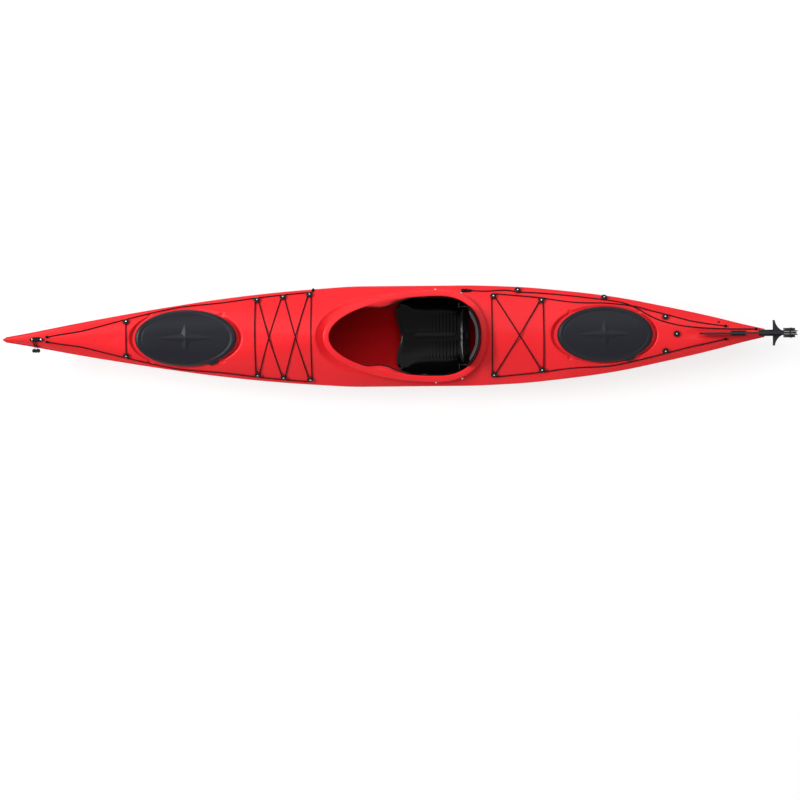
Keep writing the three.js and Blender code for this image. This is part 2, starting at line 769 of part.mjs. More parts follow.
// Perimeter lines: hand-picked turns between the buttons, as shares of the length and half beam.
const foreLineStartShares = [[0.056, 0.0433], [0.0733, 0.09], [0.1002, 0.1467]];
const foreLineWaistShares = [[0.1956, 0.5067], [0.2222, 0.5933], [0.2489, 0.64], [0.2804, 0.6733]];
const foreTailShares = [[0.4033, 0.8733], [0.4049, 0.9433]];
const aftLineStarboardShares = [
  [0.7413, 0.6333], [0.7644, 0.62], [0.7878, 0.6167],
  [0.8111, 0.58], [0.8347, 0.5067],
];
const aftLinePortShares = [
  [0.7413, -0.6533], [0.7644, -0.64], [0.79, -0.6333],
  [0.8111, -0.5867], [0.8347, -0.5],
];
const sternEndStarboardShares = [[0.9013, 0.2433], [0.9289, 0.1733], [0.9471, 0.1367]];
const sternEndPortShares = [[0.9013, -0.2533], [0.9276, -0.1733], [0.9471, -0.11]];
const liftLineStartShares = [[0.6107, 0.8867], [0.6356, 0.86], [0.6576, 0.9067]];
const liftLineMiddleShares = [[0.6996, 0.8333], [0.7389, 0.7733]];
const liftLineEndShares = [
  [0.8082, 0.6433], [0.8253, 0.5533], [0.8444, 0.3733], [0.862, 0.2467], [0.8869, 0.1567],
  [0.9144, 0.11], [0.9422, 0.0867], [0.9756, 0.0733], [0.9867, 0.07],
];
const lineCrossingShares = [0.8282, 0.5267];

function addLines() {
  const at = (name, hand) => outsideOf(placeOf(pairPlaceShares[name], hand));
  const single = (name) => {
    const [station, side] = placeOf(singlePlaceShares[name]);
    return [station, side - turnRadius];
  };
  const route = (shares, hand = 1) => shares.map((place) => placeOf(place, hand));
  const fore = (hand) => [
    ...route(foreLineStartShares, hand),
    at("fore_1", hand),
    ...route(foreLineWaistShares, hand),
    ...["fore_2", "fore_3", "fore_4"].map((name) => at(name, hand)),
  ];
  const aft = (hand, middle, end) =>
    [at("aft_1", hand), at("aft_2", hand), ...route(middle), at("aft_3", hand), ...route(end)];
  const lift = [
    ...route(liftLineStartShares),
    single("lift_line_guide_fore"),
    ...route(liftLineMiddleShares),
    single("lift_line_guide_aft"),
    ...route(liftLineEndShares),
  ];
  const routes = {
    fore_deck_line_port: laid(fore(-1)),
    fore_deck_line_starboard: laid([...fore(1), ...route(foreTailShares)]),
    aft_deck_line_port: laid(aft(-1, aftLinePortShares, sternEndPortShares)),
    aft_deck_line_starboard:
      laid(aft(1, aftLineStarboardShares, sternEndStarboardShares), [placeOf(lineCrossingShares)]),
    rudder_lift_line: laid(lift),
  };
  Object.entries(routes).forEach(([name, points]) => {
    add(name, tube(points, cordRadius, cordSides), cordBlack);
  });
}

// Pieces that stand on the crown of the deck are hollowed underneath to fit it.
const deckUnder = toSolid(deckSkin.geometry.clone().translate(0, 0, gap));
const seated = (solid) => solid.subtract(deckUnder);

// Seat pan: a moulded shell on two runners, hung by its wings inside the coaming.
const seatLength = 436;
const seatBehind = 64;
const seatRear = cockpitRear - seatBehind;
const seatFront = seatRear - seatLength;
const frontDip = 27;
const lobeSide = 132;
const seatWall = 4;
const seatFloor = 42;
const seatGroove = 9;
const seatWingDrop = 24;
const seatWingGap = 3.5;
const seatRoll = 34;
const seatSteps = 10;
const frontRollShare = 0.3;
const rearRollShare = 0.16;
const runnerSide = 62;
const runnerWidth = 16;
const wingRiseShares = [[0, 0.22], [0.12, 0.35], [0.3, 0.85], [0.5, 1], [0.82, 1], [0.94, 0.16], [1, 0.12]];
const seatSectionShares = [
  [0, 0], [0.1, 0.01], [0.2, 0], [0.46, 0.02], [0.66, 0.1], [0.84, 0.24], [0.94, 0.46], [0.99, 0.76], [1, 1],
];

function cockpitBreadth(station) {
  const aft = station > cockpitWidest;
  const reach = (aft ? cockpitRear : cockpitFront) - cockpitWidest;
  const power = aft ? cockpitSquareness : 2;
  return cockpitHalfWidth * (1 - ((station - cockpitWidest) / reach) ** power) ** (1 / power);
}

// Starboard half of the pan's underside, from the ridge between its lobes to the wing's top.
function seatHalf(station) {
  const t = (station - seatFront) / (seatRear - seatFront);
  const breadth = cockpitBreadth(station) - seatWingGap;
  const front = Math.max(0, 1 - t / frontRollShare) ** 2;
  const rear = Math.max(0, 1 - (1 - t) / rearRollShare) ** 2;
  const floor = seatFloor + seatRoll * (front + rear);
  const rise = (rimHeight(station) - seatWingDrop - floor) * along(wingRiseShares, t);
  return seatSectionShares.map(([x, z]) => [breadth * x, floor + rise * z + (x ? 0 : seatGroove)]);
}

function seatRing(station) {
  const outer = mirrored(seatHalf(station), station);
  const inner = mirrored(inset(seatHalf(station), seatWall), station);
  return [...outer.port, ...outer.ring, ...inner.ring.reverse(), ...inner.port.reverse()];
}

function buildSeat() {
  const stations = spread(seatFront, seatRear, seatSteps);
  const pan = toSolid(skin([...stations, seatRear].map(seatRing), false, wallCap));
  const length = seatRear - seatFront;
  const runners = [-1, 1].map((hand) => {
    const sides = [hand * runnerSide - runnerWidth / 2, hand * runnerSide + runnerWidth / 2];
    const low = [seatFront + length * frontRollShare, sides[0], 0];
    return block(low, [seatRear - length * rearRollShare, sides[1], seatFloor + seatWall]);
  });
  const notch = deckPrism([
    [seatFront - overrun, -lobeSide], [seatFront, -lobeSide], [seatFront + frontDip, 0],
    [seatFront, lobeSide], [seatFront - overrun, lobeSide],
  ]);
  return pan.subtract(notch).add(joined(runners).intersect(insideSolid)).subtract(backPivotRods(pivotBore));
}

// Backrest: a curved plastic band with a foam pad, which tilts on two arms beside the wings.
const backClearance = 7;
const backSideClearance = 7.8;
const backDepth = 75.8;
const backShell = 4;
const backPad = 16;
const backSteps = 12;
const backTop = 416;
const backTopFall = 84;
const backBottom = 182;
const backBevel = 4;
const padInset = 12;
const pivotReach = 124;
const pivotStation = cockpitRear - pivotReach;
const pivotHeight = 150;
const pivotRadius = 4;
const pivotBore = pivotRadius + gap;
const pivotHead = 7;
const armThickness = 6;
const armWidth = 22;
const armInset = 5.3;

// The band is an arc through the back of the cockpit and a point near each of its sides.
const backEnd = cockpitRear - backClearance - backDepth;
const backHalfSpan = cockpitBreadth(backEnd) - backSideClearance;
const backRadius = (backHalfSpan ** 2 + backDepth ** 2) / (2 * backDepth);
const backCentre = cockpitRear - backClearance - backRadius;
const backSpan = Math.asin(backHalfSpan / backRadius);
const armSide = backHalfSpan - armInset;
const wingReach = cockpitBreadth(pivotStation) + seatWall;

function backRing(angle, outer, thickness, margin) {
  const fall = backTopFall * (angle / backSpan) ** 2;
  const low = backBottom + margin;
  const high = backTop - margin - fall;
  const middle = outer - thickness / 2;
  const section = [
    [outer, low], [outer, high - backBevel], [middle, high], [outer - thickness, high - backBevel],
    [outer - thickness, low],
  ];
  return section.map(([radius, height]) =>
    new THREE.Vector3(backCentre + radius * Math.cos(angle), radius * Math.sin(angle), height));
}

function backBand(outer, thickness, margin) {
  const angles = [...spread(-backSpan, backSpan, backSteps), backSpan];
  const covered = margin ? angles.slice(1, -1) : angles;
  return toSolid(skin(covered.map((angle) => backRing(angle, outer, thickness, margin))));
}

const backPivotRods = (radius) =>
  rod(radius, 2 * wingReach, "y", [pivotStation, 0, pivotHeight]);

function buildBackrest() {
  const arms = [-1, 1].map((hand) => {
    const foot = pivotHeight - armWidth / 2;
    const outline = [
      [pivotStation - armWidth / 2, foot], [pivotStation + armWidth / 2, foot],
      [backEnd + armWidth, backBottom], [backEnd + armWidth, backBottom + armWidth],
      [backEnd - backBevel, backBottom + armWidth],
      [pivotStation - armWidth / 2, pivotHeight + armWidth],
    ];
    return plate(outline, armThickness, 0, hand * armSide);
  });
  return backBand(backRadius, backShell, 0).add(joined(arms)).subtract(backPivotRods(pivotBore));
}

// Height of the band's ends leaves the arms' pins to reach from inside the arm to the wing.
function buildPivotPin(hand) {
  const inner = armSide - armThickness / 2 - gap;
  const outer = cockpitBreadth(pivotStation) - seatWingGap;
  const on = (side) => [pivotStation, hand * side, pivotHeight];
  const shank = rod(pivotRadius, outer - inner, "y", on((inner + outer) / 2));
  return shank.add(rod(pivotHead, armThickness / 2, "y", on(inner - armThickness / 4)));
}

// Thigh braces: moulded grips that line the coaming beside the paddler's knees.
const braceEndShares = [0.2868, 0.6667];
const [braceFrom, braceTo] = braceEndShares
  .map((share) => cockpitFront + (cockpitWidest - cockpitFront) * share);
const braceDepth = 54;
const braceTop = 9;
const braceWidth = 24;
const braceGap = 0.6;
const braceSwellShares = [0.25, 0.9, 0.7, 1, 0.3];
const braceSectionShares = [[0, 0], [0.6, 0], [1, 0.2], [0.8, 0.64], [0, 1]];

function buildBrace(hand) {
  const angles = loopAngles(coamingSteps).filter((angle) => {
    const [station, side] = cockpitPoint(angle, 0);
    return side > 0 && station > braceFrom && station < braceTo;
  });
  const rings = angles.map((angle, i) => {
    const rim = rimHeight(cockpitPoint(angle, lipWidth / 2)[0]);
    const share = along(braceSwellShares.map((swell, k) => [k / (braceSwellShares.length - 1), swell]),
      i / (angles.length - 1));
    return braceSectionShares.map(([out, drop]) => {
      const [station, side] = cockpitPoint(angle, -braceGap - braceWidth * share * out);
      return new THREE.Vector3(station, hand * side, rim - braceTop - (braceDepth - braceTop) * drop);
    });
  });
  return toSolid(skin(rings));
}

// Foot braces: a rail along each side of the hull, and a pedal that slides on it.
const railBehind = 5;
const railLength = 411;
const railEnd = 22;
const foreBulkheadRear = bulkheadPlaceShares.fore_bulkhead * hullLength + bulkheadThickness / 2;
const railFrom = foreBulkheadRear + railEnd + railBehind;
const railTo = railFrom + railLength;
const railHeight = 135;
const railWidth = 28;
const railDepth = 14;
const railStandoff = 16;
const bossRadius = 11;
const pedalReach = 223;
const pedalStation = railFrom + pedalReach;
const carriageLength = 70;
const carriageWall = 6;
const pedalWidth = 88;
const pedalTop = 100;
const pedalBottom = 46;
const pedalThickness = 9;
const slideGap = 0.4;
const insideSkin = new THREE.Mesh(insideGeometry);

// Inner breadth of the hull at a station and height.
function innerBreadth(station, height) {
  plumbLine.set(new THREE.Vector3(station, 2 * halfBeam, height), new THREE.Vector3(0, -1, 0));
  return plumbLine.intersectObject(insideSkin)[0].point.y;
}

const railStart = innerBreadth(railFrom, railHeight) - railStandoff;
const railFinish = innerBreadth(railTo, railHeight) - railStandoff;
const railAngle = Math.atan2(railFinish - railStart, railTo - railFrom);

// Turns a solid built along X, beside the centreline, to lie along one of the rails.
function onRail(geometry, hand, station) {
  const share = (station - railFrom) / (railTo - railFrom);
  const shape = geometry.clone();
  shape.rotateZ(railAngle);
  shape.translate(station, railStart + (railFinish - railStart) * share, railHeight);
  if (hand < 0) {
    shape.scale(1, -1, 1);
    shape.setIndex([...shape.index.array].reverse());
  }
  return toSolid(shape);
}

function buildRail(hand) {
  const half = (railTo - railFrom) / 2 + railEnd;
  const middle = (railTo + railFrom) / 2;
  const bar = onRail(box([-half, -railDepth, -railWidth / 2], [half, 0, railWidth / 2]), hand, middle);
  const bosses = [railFrom, railTo].map((station) => {
    const start = railStart - railDepth / 2;
    const centre = [station, (hand * (start + halfBeam)) / 2, railHeight];
    return rod(bossRadius, halfBeam - start, "y", centre, 12);
  });
  return bar.add(joined(bosses)).intersect(insideSolid);
}

function buildPedal(hand) {
  const inner = -railDepth - slideGap;
  const lip = railWidth / 2 + slideGap;
  const length = carriageLength / 2;
  const carriage = [
    box([-length, inner - carriageWall, -lip - carriageWall], [length, inner, lip + carriageWall]),
    box([-length, inner - slideGap, lip], [length, 0, lip + carriageWall]),
    box([-length, inner - slideGap, -lip - carriageWall], [length, 0, -lip]),
    box([-pedalThickness, inner - pedalWidth, -pedalBottom], [0, inner - slideGap, pedalTop]),
  ];
  return joined(carriage.map((part) => onRail(part, hand, pedalStation)));
}

// Bow: a pad eye on the deck, and a toggle on a loop of cord. The loop passes round the
// front foot of the eye's arch and through two bores in the toggle, outside the port edge.
const eyePlaceShare = 0.043556;
const eyeStation = eyePlaceShare * hullLength;
const eyePlate = [84, 30, 5];
const eyeSink = 6;
const eyeSides = 14;
const archRadius = 14;
const archRise = 2;
const archWire = 3;
const archSteps = 7;
const toggleAhead = 9;
const toggleOut = 19.5;
const toggleDrop = 2.6;
const toggleStation = eyeStation - toggleAhead;
const toggleSide = -lines(toggleStation).beam - toggleOut;
const toggleHeight = lines(toggleStation).seam - toggleDrop;
const toggleLength = 46;
const toggleRadius = 12;
const toggleWaistShare = 0.78;
const toggleProfileShares = [
  [0, -1], [0.6, -1], [1, -0.7], [toggleWaistShare, 0], [1, 0.7], [0.6, 1], [0, 1],
];
const loopHalf = 6.5;
const loopRadius = 2;
const loopLift = loopRadius + 4 * gap;
const loopSideShares = [0.409, 0.602, 0.775, 0.925];
const loopSides = loopSideShares.map((share) => -share * lines(toggleStation).beam);
const loopStart = 3.6;
const loopShift = 5;
const loopStagger = 1;

const eyeTop = deckHeight(eyeStation, 0) + eyePlate[2];

function buildPadEye() {
  const [length, width] = eyePlate;
  const outline = loopAngles(eyeSides).map((angle) => new THREE.Vector3(
    eyeStation + (length / 2) * Math.cos(angle),
    (width / 2) * Math.sin(angle),
    eyeTop - eyePlate[2] - eyeSink,
  ));
  const raised = outline.map((point) => new THREE.Vector3(point.x, point.y, eyeTop));
  const bend = Array.from({ length: archSteps + 1 }, (_, i) => (Math.PI * i) / archSteps)
    .map((angle) => [-archRadius * Math.cos(angle), archRise + archRadius * Math.sin(angle)]);
  const arch = [[-archRadius, -archWire], ...bend, [archRadius, -archWire]]
    .map(([x, z]) => new THREE.Vector3(eyeStation + x, 0, eyeTop + z));
  return seated(toSolid(skin([outline, raised])).add(archTube(arch)));
}

// A bent wire in the boat's middle plane.
function archTube(points) {
  const rings = points.map((point, i) => {
    const before = points[Math.max(i - 1, 0)];
    const after = points[Math.min(i + 1, points.length - 1)];
    const forward = after.clone().sub(before).normalize();
    const across = new THREE.Vector3(0, 1, 0);
    const over = across.clone().cross(forward);
    return loopAngles(cordSides).map((angle) => point.clone()
      .addScaledVector(across, archWire * Math.cos(angle))
      .addScaledVector(over, archWire * Math.sin(angle)));
  });
  return toSolid(skin(rings));
}

// Half of the loop on one side of the arch's foot, from the starboard side to the toggle.
const toggleAt = new THREE.Vector3(toggleStation, toggleSide, toggleHeight);
const footStation = eyeStation - archRadius;
const footReach = archWire + loopRadius + 3 * gap;

function loopHalfPoints(hand) {
  const atFoot = footStation + hand * footReach + Math.max(0, hand * loopStagger);
  const plateEdge = -eyePlate[1] / 2 - loopRadius;
  const onPlate = [[atFoot, loopStart], [atFoot, -archWire], [atFoot, plateEdge]]
    .map(([station, side]) => new THREE.Vector3(station, side, eyeTop + loopLift));
  const overEdge = loopSides.map((side, i) => {
    const share = (i + 1) / loopSides.length;
    const station = atFoot + (toggleStation + hand * loopHalf - atFoot) * share;
    return onDeck(station, side, loopLift);
  });
  return [...onPlate, ...overEdge];
}

// Way in which the loop's strands leave the deck's edge and pass through the toggle.
const strandWay = toggleAt.clone().sub(onDeck(toggleStation, loopSides.at(-1), loopLift)).normalize();

function strandEnd(hand) {
  const reach = toggleRadius * toggleWaistShare + loopRadius + loopRadius;
  return toggleAt.clone().addScaledVector(strandWay, reach).add(new THREE.Vector3(hand * loopHalf, 0, 0));
}

function buildToggle() {
  const profile = toggleProfileShares
    .map(([r, x]) => new THREE.Vector2(r * toggleRadius, (x * toggleLength) / 2));
  const shape = new THREE.LatheGeometry(profile, eyeSides);
  shape.rotateZ(-Math.PI / 2);
  shape.translate(...toggleAt);
  const bores = [-1, 1].map((hand) => {
    const boreRadius = loopRadius + 2 * gap;
    const bore = new THREE.CylinderGeometry(boreRadius, boreRadius, 4 * toggleRadius, eyeSides);
    bore.applyQuaternion(new THREE.Quaternion().setFromUnitVectors(new THREE.Vector3(0, 1, 0), strandWay));
    bore.translate(toggleStation + hand * loopHalf, toggleSide, toggleHeight);
    return toSolid(bore);
  });
  return toSolid(shape).subtract(joined(bores));
}

function buildToggleLoop() {
  const end = new THREE.Vector3(footStation, loopStart + loopShift, eyeTop + loopLift);
  const fore = [...loopHalfPoints(-1), strandEnd(-1)];
  const aft = [...loopHalfPoints(1), strandEnd(1)].reverse();
  return tube([end, ...fore, ...aft], loopRadius, cordSides, true);
}

// Small jam cleat for the rudder's lift line.
const cleatPlaceShares = [0.604889, 0.88];
const cleatSize = [46, 18, 15];
const cleatSlot = 5;
const cleatNoseShare = 0.8;

function addCleat() {
  const [length, width, height] = cleatSize;
  const outline = [
    [-length / 2, 0], [length / 2, 0], [length / 3, height], [cleatSlot, height], [0, cleatSlot],
    [-cleatSlot, height], [-length / 2, height * cleatNoseShare],
  ];
  const place = placeOf(cleatPlaceShares);
  const mesh = add("rudder_line_cleat", plate(outline, width, 0, 0), plastic);
  mesh.position.copy(onDeck(...place, 2 * gap));
  mesh.quaternion.setFromUnitVectors(up, deckNormal(...place));
}

// Rudder: a bracket on the stern carries the head's pin, and the head's fork carries the
// blade, which folds forward over the deck and swings up, over and down behind the stern.
const bladeThickness = 12;
const bladeLength = 530;
const bladeChord = 82;
const bladeTilt = 0.14;
const hubRadius = 5;
const hubHead = 9;
const bladeOutlineShares = [
  [0, 0.43], [-0.05, 0.3], [-0.07, 0], [-0.05, -0.26], [0.03, -0.36], [0.13, -0.28], [0.25, -0.24],
  [0.36, -0.32], [0.64, -0.38], [0.9, -0.36], [0.98, -0.28], [1, -0.04], [0.985, 0.2], [0.935, 0.5],
  [0.81, 0.62], [0.63, 0.62], [0.17, 0.5],
];
const pintleBehind = 40;
const hubBehind = 84;
const pintleStation = hullLength + pintleBehind;
const hubStation = pintleStation + hubBehind;
const deckAtStern = deckHeight(pintleStation, 0);
const hubRise = 81;
const hubHeight = deckAtStern + hubRise;
const pintleRadius = 6;
const pintleBore = pintleRadius + gap;
const barrelRadius = 12;
const barrelSides = 24;
const barrelDrop = 24;
const barrelRise = 36;
const barrelLow = deckAtStern - barrelDrop;
const barrelHigh = deckAtStern + barrelRise;
const bracketPlate = [88, 38, 6];
const yokeReach = 69;
const yokeThickness = 7;
const yokeKnob = 7;
const slotPlay = 1;
const forkSlot = bladeThickness + 2 * slotPlay;
const cheekThickness = 7;
const finDepth = 14;
const finWidth = 5;
const finRoot = 1;
const finCount = 5;
const headAhead = 38;
const headBehind = 40;
const headFront = hubStation - headAhead;
const headRear = hubStation + headBehind;
const headDrop = 71;
const headRise = 36;
const headLow = hubHeight - headDrop;
const headHigh = hubHeight + headRise;
const headEdge = 3;
const neckWidth = 26;
const neckClear = 2;
const chockAhead = 294;
const chockStation = hubStation - chockAhead;
const chockSize = [84, 30, 24];

function bladePoint([x, z]) {
  const reach = -x * bladeLength;
  const across = z * bladeChord;
  const [cos, sin] = [Math.cos(bladeTilt), Math.sin(bladeTilt)];
  return [hubStation + reach * cos - across * sin, hubHeight + reach * sin + across * cos];
}

function buildBlade() {
  const outline = bladeOutlineShares.map(bladePoint);
  const bore = rod(hubRadius + gap, 2 * finDepth + 2 * bladeThickness, "y", [hubStation, 0, hubHeight]);
  return plate(outline, bladeThickness, bladeThickness / 4, 0).subtract(bore);
}

function buildBracket() {
  const [length, width, thickness] = bracketPlate;
  const top = deckAtStern + thickness;
  const foot = block([pintleStation - length, -width / 2, deckAtStern - thickness],
    [pintleStation - barrelRadius / 2, width / 2, top]);
  const web = block([pintleStation - length / 2, -barrelRadius / 2, deckAtStern],
    [pintleStation, barrelRadius / 2, barrelHigh]);
  const middle = (barrelHigh + barrelLow) / 2;
  const barrel = rod(barrelRadius, barrelHigh - barrelLow, "z", [pintleStation, 0, middle], barrelSides);
  const bore = rod(pintleBore, 2 * bowHeight, "z", [pintleStation, 0, bowHeight], barrelSides);
  const behind = block([pintleStation - length, -width, -overrun],
    [hullLength + gap, width, deckAtStern - thickness / 2]);
  return seated(foot.add(web).add(barrel).subtract(bore).subtract(behind));
}

function buildHead() {
  const pinTop = barrelHigh + gap + yokeThickness;
  const pin = rod(pintleRadius, pinTop - barrelLow, "z", [pintleStation, 0, (pinTop + barrelLow) / 2]);
  const wing = new THREE.Shape();
  wing.moveTo(-barrelRadius, -yokeReach);
  wing.lineTo(-barrelRadius, yokeReach);
  wing.lineTo(0, yokeReach);
  wing.quadraticCurveTo(barrelRadius, neckWidth, headFront - pintleStation, neckWidth / 2);
  wing.lineTo(headFront - pintleStation, -neckWidth / 2);
  wing.quadraticCurveTo(barrelRadius, -neckWidth, 0, -yokeReach);
  const yoke = new THREE.ExtrudeGeometry(wing,
    { depth: yokeThickness, bevelEnabled: false, curveSegments: 5 });
  yoke.translate(pintleStation, 0, barrelHigh + gap);
  const knobs = [-1, 1].map((hand) => rod(yokeKnob, 2 * yokeThickness, "z",
    [pintleStation - barrelRadius / 2, hand * yokeReach, barrelHigh + gap + yokeThickness / 2], 10));
  const neck = block([pintleStation + barrelRadius + neckClear, -neckWidth / 2, headLow + headEdge],
    [headFront + cheekThickness, neckWidth / 2, barrelHigh + gap + yokeThickness / 2]);
  return joined([pin, toSolid(yoke), ...knobs, neck, ...cheeks()])
    .subtract(rod(hubRadius + gap, 4 * finDepth + 2 * bladeThickness, "y", [hubStation, 0, hubHeight]));
}

// Each cheek of the fork is a rounded plate, stiffened by upright fins.
function cheeks() {
  const corner = (headRear - headFront) / 4;
  const outline = new THREE.Shape();
  outline.moveTo(headFront, headLow);
  outline.lineTo(headRear - corner, headLow);
  outline.quadraticCurveTo(headRear, headLow, headRear, headLow + corner);
  outline.lineTo(headRear, headHigh - corner);
  outline.quadraticCurveTo(headRear, headHigh, headRear - corner, headHigh);
  outline.lineTo(headFront + corner, headHigh - corner / 3);
  outline.lineTo(headFront, headHigh - corner);
  const points = outline.getPoints(4).map((point) => [point.x, point.y]);
  return [-1, 1].flatMap((hand) => {
    const inner = forkSlot / 2;
    const cheek = plate(points, cheekThickness, 0, hand * (inner + cheekThickness / 2));
    const face = inner + cheekThickness;
    const fins = spread(0, 1, finCount).map((share) => {
      const start = headFront + cheekThickness + (headRear - headFront - 2 * cheekThickness) * share;
      const sides = [hand * (face - finRoot), hand * (face + finDepth)].sort((a, b) => a - b);
      return block([start, sides[0], headLow + corner / 2], [start + finWidth, sides[1], headHigh - corner]);
    });
    return [cheek, ...fins];
  });
}

function buildHubPin() {
  const reach = forkSlot / 2 + cheekThickness + finDepth;
  return rod(hubRadius, 2 * reach, "y", [hubStation, 0, hubHeight])
    .add(rod(hubHead, finDepth / 3, "y", [hubStation, reach + finDepth / 6, hubHeight]))
    .add(rod(hubHead, finDepth / 3, "y", [hubStation, -reach - finDepth / 6, hubHeight]));
}

// The chock reaches from the deck to the underside of the folded blade.
function buildChock() {
  const [length, width, height] = chockSize;
  const lowest = Math.min(...bladeOutlineShares.map(([, z]) => z)) * bladeChord;
  const fall = (chockAhead + length / 2) * Math.sin(bladeTilt) - lowest;
  const top = hubHeight - fall / Math.cos(bladeTilt) - gap;
  return seated(block([chockStation - length / 2, -width / 2, top - height],
    [chockStation + length / 2, width / 2, top]));
}

add("hull_shell", buildHull(), red);
add("deck_shell", buildDeck(), red);
Object.entries(bulkheadPlaceShares).forEach(([name, share]) =>
  add(name, buildBulkhead(share * hullLength), foam));
add("front_hatch_cover", hatchCover(hatches.front), rubber);
add("rear_hatch_cover", hatchCover(hatches.rear), rubber);
add("seat_pan", buildSeat(), plastic);
add("backrest_shell", buildBackrest(), plastic);
add("backrest_pad", backBand(backRadius - backShell - gap, backPad, padInset), foam);
[["port", -1], ["starboard", 1]].forEach(([name, hand]) => {
  add(`backrest_pin_${name}`, buildPivotPin(hand), steel);
  add(`thigh_brace_${name}`, buildBrace(hand), plastic);
  add(`foot_brace_rail_${name}`, buildRail(hand), plastic);
  add(`foot_pedal_${name}`, buildPedal(hand), plastic);
});
add("bow_pad_eye", buildPadEye(), plastic);
add("bow_toggle", buildToggle(), plastic);
add("bow_toggle_loop", buildToggleLoop(), cordBlack);
addButtons();
addBungees();
addLines();
addCleat();
add("rudder_bracket", buildBracket(), plastic);
add("rudder_head", buildHead(), plastic);
add("rudder_hub_pin", buildHubPin(), steel);
add("rudder_blade", buildBlade(), plastic);
add("rudder_chock", buildChock(), rubber);

kayak.updateMatrixWorld(true);
const extent = new THREE.Box3().setFromObject(kayak);
kayak.position.x = -(extent.min.x + extent.max.x) / 2;

export default kayak;
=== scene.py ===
# %% [markdown]
# # A sea kayak with a folding rudder
#
# The real boat is moulded in red polyethylene, in two halves that meet along a seam under
# the gunwale. Everything else is screwed to it or stretched over it. The frame that is
# loaded first holds each piece at its real size. This script keeps those sizes, and gives
# every piece the smooth surface, the edges and the finish that the real one has.

# %% Load the frame
import functools
import json
import math

import bmesh
import bpy
import numpy as np
from mathutils import Matrix, Vector
from mathutils.bvhtree import BVHTree

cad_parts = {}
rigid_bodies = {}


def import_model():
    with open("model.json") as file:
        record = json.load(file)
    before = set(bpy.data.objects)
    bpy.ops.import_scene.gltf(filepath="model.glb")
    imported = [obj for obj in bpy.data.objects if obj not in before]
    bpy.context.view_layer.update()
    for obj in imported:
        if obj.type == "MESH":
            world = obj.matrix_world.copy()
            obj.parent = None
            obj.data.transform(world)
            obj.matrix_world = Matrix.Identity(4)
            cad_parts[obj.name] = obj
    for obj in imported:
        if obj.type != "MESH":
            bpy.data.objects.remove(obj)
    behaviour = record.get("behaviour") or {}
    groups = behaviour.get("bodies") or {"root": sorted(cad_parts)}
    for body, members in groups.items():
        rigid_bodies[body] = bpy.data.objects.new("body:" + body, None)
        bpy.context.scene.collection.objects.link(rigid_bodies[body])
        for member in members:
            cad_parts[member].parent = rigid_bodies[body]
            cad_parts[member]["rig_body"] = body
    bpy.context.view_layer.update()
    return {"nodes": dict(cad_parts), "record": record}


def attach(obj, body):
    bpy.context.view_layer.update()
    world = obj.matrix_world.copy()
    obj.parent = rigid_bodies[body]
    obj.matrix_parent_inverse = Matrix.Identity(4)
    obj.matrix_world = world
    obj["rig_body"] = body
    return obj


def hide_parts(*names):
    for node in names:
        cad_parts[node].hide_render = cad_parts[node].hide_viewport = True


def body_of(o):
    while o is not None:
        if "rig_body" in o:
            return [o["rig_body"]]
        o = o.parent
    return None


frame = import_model()
nodes = frame["nodes"]

# %% [markdown]
# ## The camera
#
# The boat was photographed from straight above, from far away, so that its long sides
# hardly converge. A long lens high over the deck does the same. The lens is shifted to
# put the boat a little above the middle of the picture, and the camera is rolled by half
# a degree, because the boat lay slightly turned.

# %% Camera over the deck
CAMERA_HEIGHT = 14.0
DECK_LEVEL = 0.28
SENSOR = 0.036
PICTURE_WIDTH = 4.739
PICTURE_X = 0.002
SHIFT_DOWN = -0.0797
ROLL = -0.0093

camera_data = bpy.data.cameras.new("camera_above")
camera_data.lens = 1000 * SENSOR * (CAMERA_HEIGHT - DECK_LEVEL) / PICTURE_WIDTH
camera_data.shift_y = SHIFT_DOWN
camera_data.clip_end = 60
camera = bpy.data.objects.new("camera_above", camera_data)
camera.location = (PICTURE_X, 0, CAMERA_HEIGHT)
camera.rotation_euler = (0, 0, ROLL)
bpy.context.collection.objects.link(camera)
bpy.context.scene.camera = camera
bpy.context.scene.view_settings.view_transform = "Standard"
print("lens", round(camera_data.lens, 1), "mm at", CAMERA_HEIGHT, "m")

# %% [markdown]
# ## Writing finishes as expressions
#
# A finish is a small network of nodes, and so is the light of the world. To keep them
# readable, one class wraps a socket, so that adding or multiplying two of them places a Math
# node. Another makes every other kind of node with one method. A third adds what a finish
# needs: a Principled shader, and patterns that read Object coordinates, in metres.

# %% A class for sockets
class Value:
    """A socket of a network. Arithmetic on it adds Math nodes."""

    def __init__(self, network, socket):
        self.network, self.socket = network, socket

    def maths(self, operation, first, second):
        return self.network.node("ShaderNodeMath", {"operation": operation}, {0: first, 1: second})

    def __add__(self, other):
        return self.maths("ADD", self, other)

    def __mul__(self, other):
        return self.maths("MULTIPLY", self, other)

    def __rsub__(self, other):
        return self.maths("SUBTRACT", other, self)

    __radd__ = __add__
    __rmul__ = __mul__


print("made a class:", Value.__doc__)


# %% A class for networks of nodes
class Network:
    """The nodes of a finish or of the world."""

    def __init__(self, tree):
        self.tree = tree

    def node(self, kind, settings=None, sockets=None, output=0):
        made = self.tree.nodes.new(kind)
        for key, value in (settings or {}).items():
            if key == "stops":
                ramp = made.color_ramp
                for element, (position, shade) in zip(ramp.elements, value):
                    element.position, element.color = position, (shade, shade, shade, 1)
            else:
                setattr(made, key, value)
        for key, value in (sockets or {}).items():
            self.feed(made.inputs[key], value)
        return Value(self, made.outputs[output])

    def feed(self, socket, value):
        if isinstance(value, Value):
            self.tree.links.new(value.socket, socket)
        else:
            socket.default_value = value


print("made a class:", Network.__doc__)


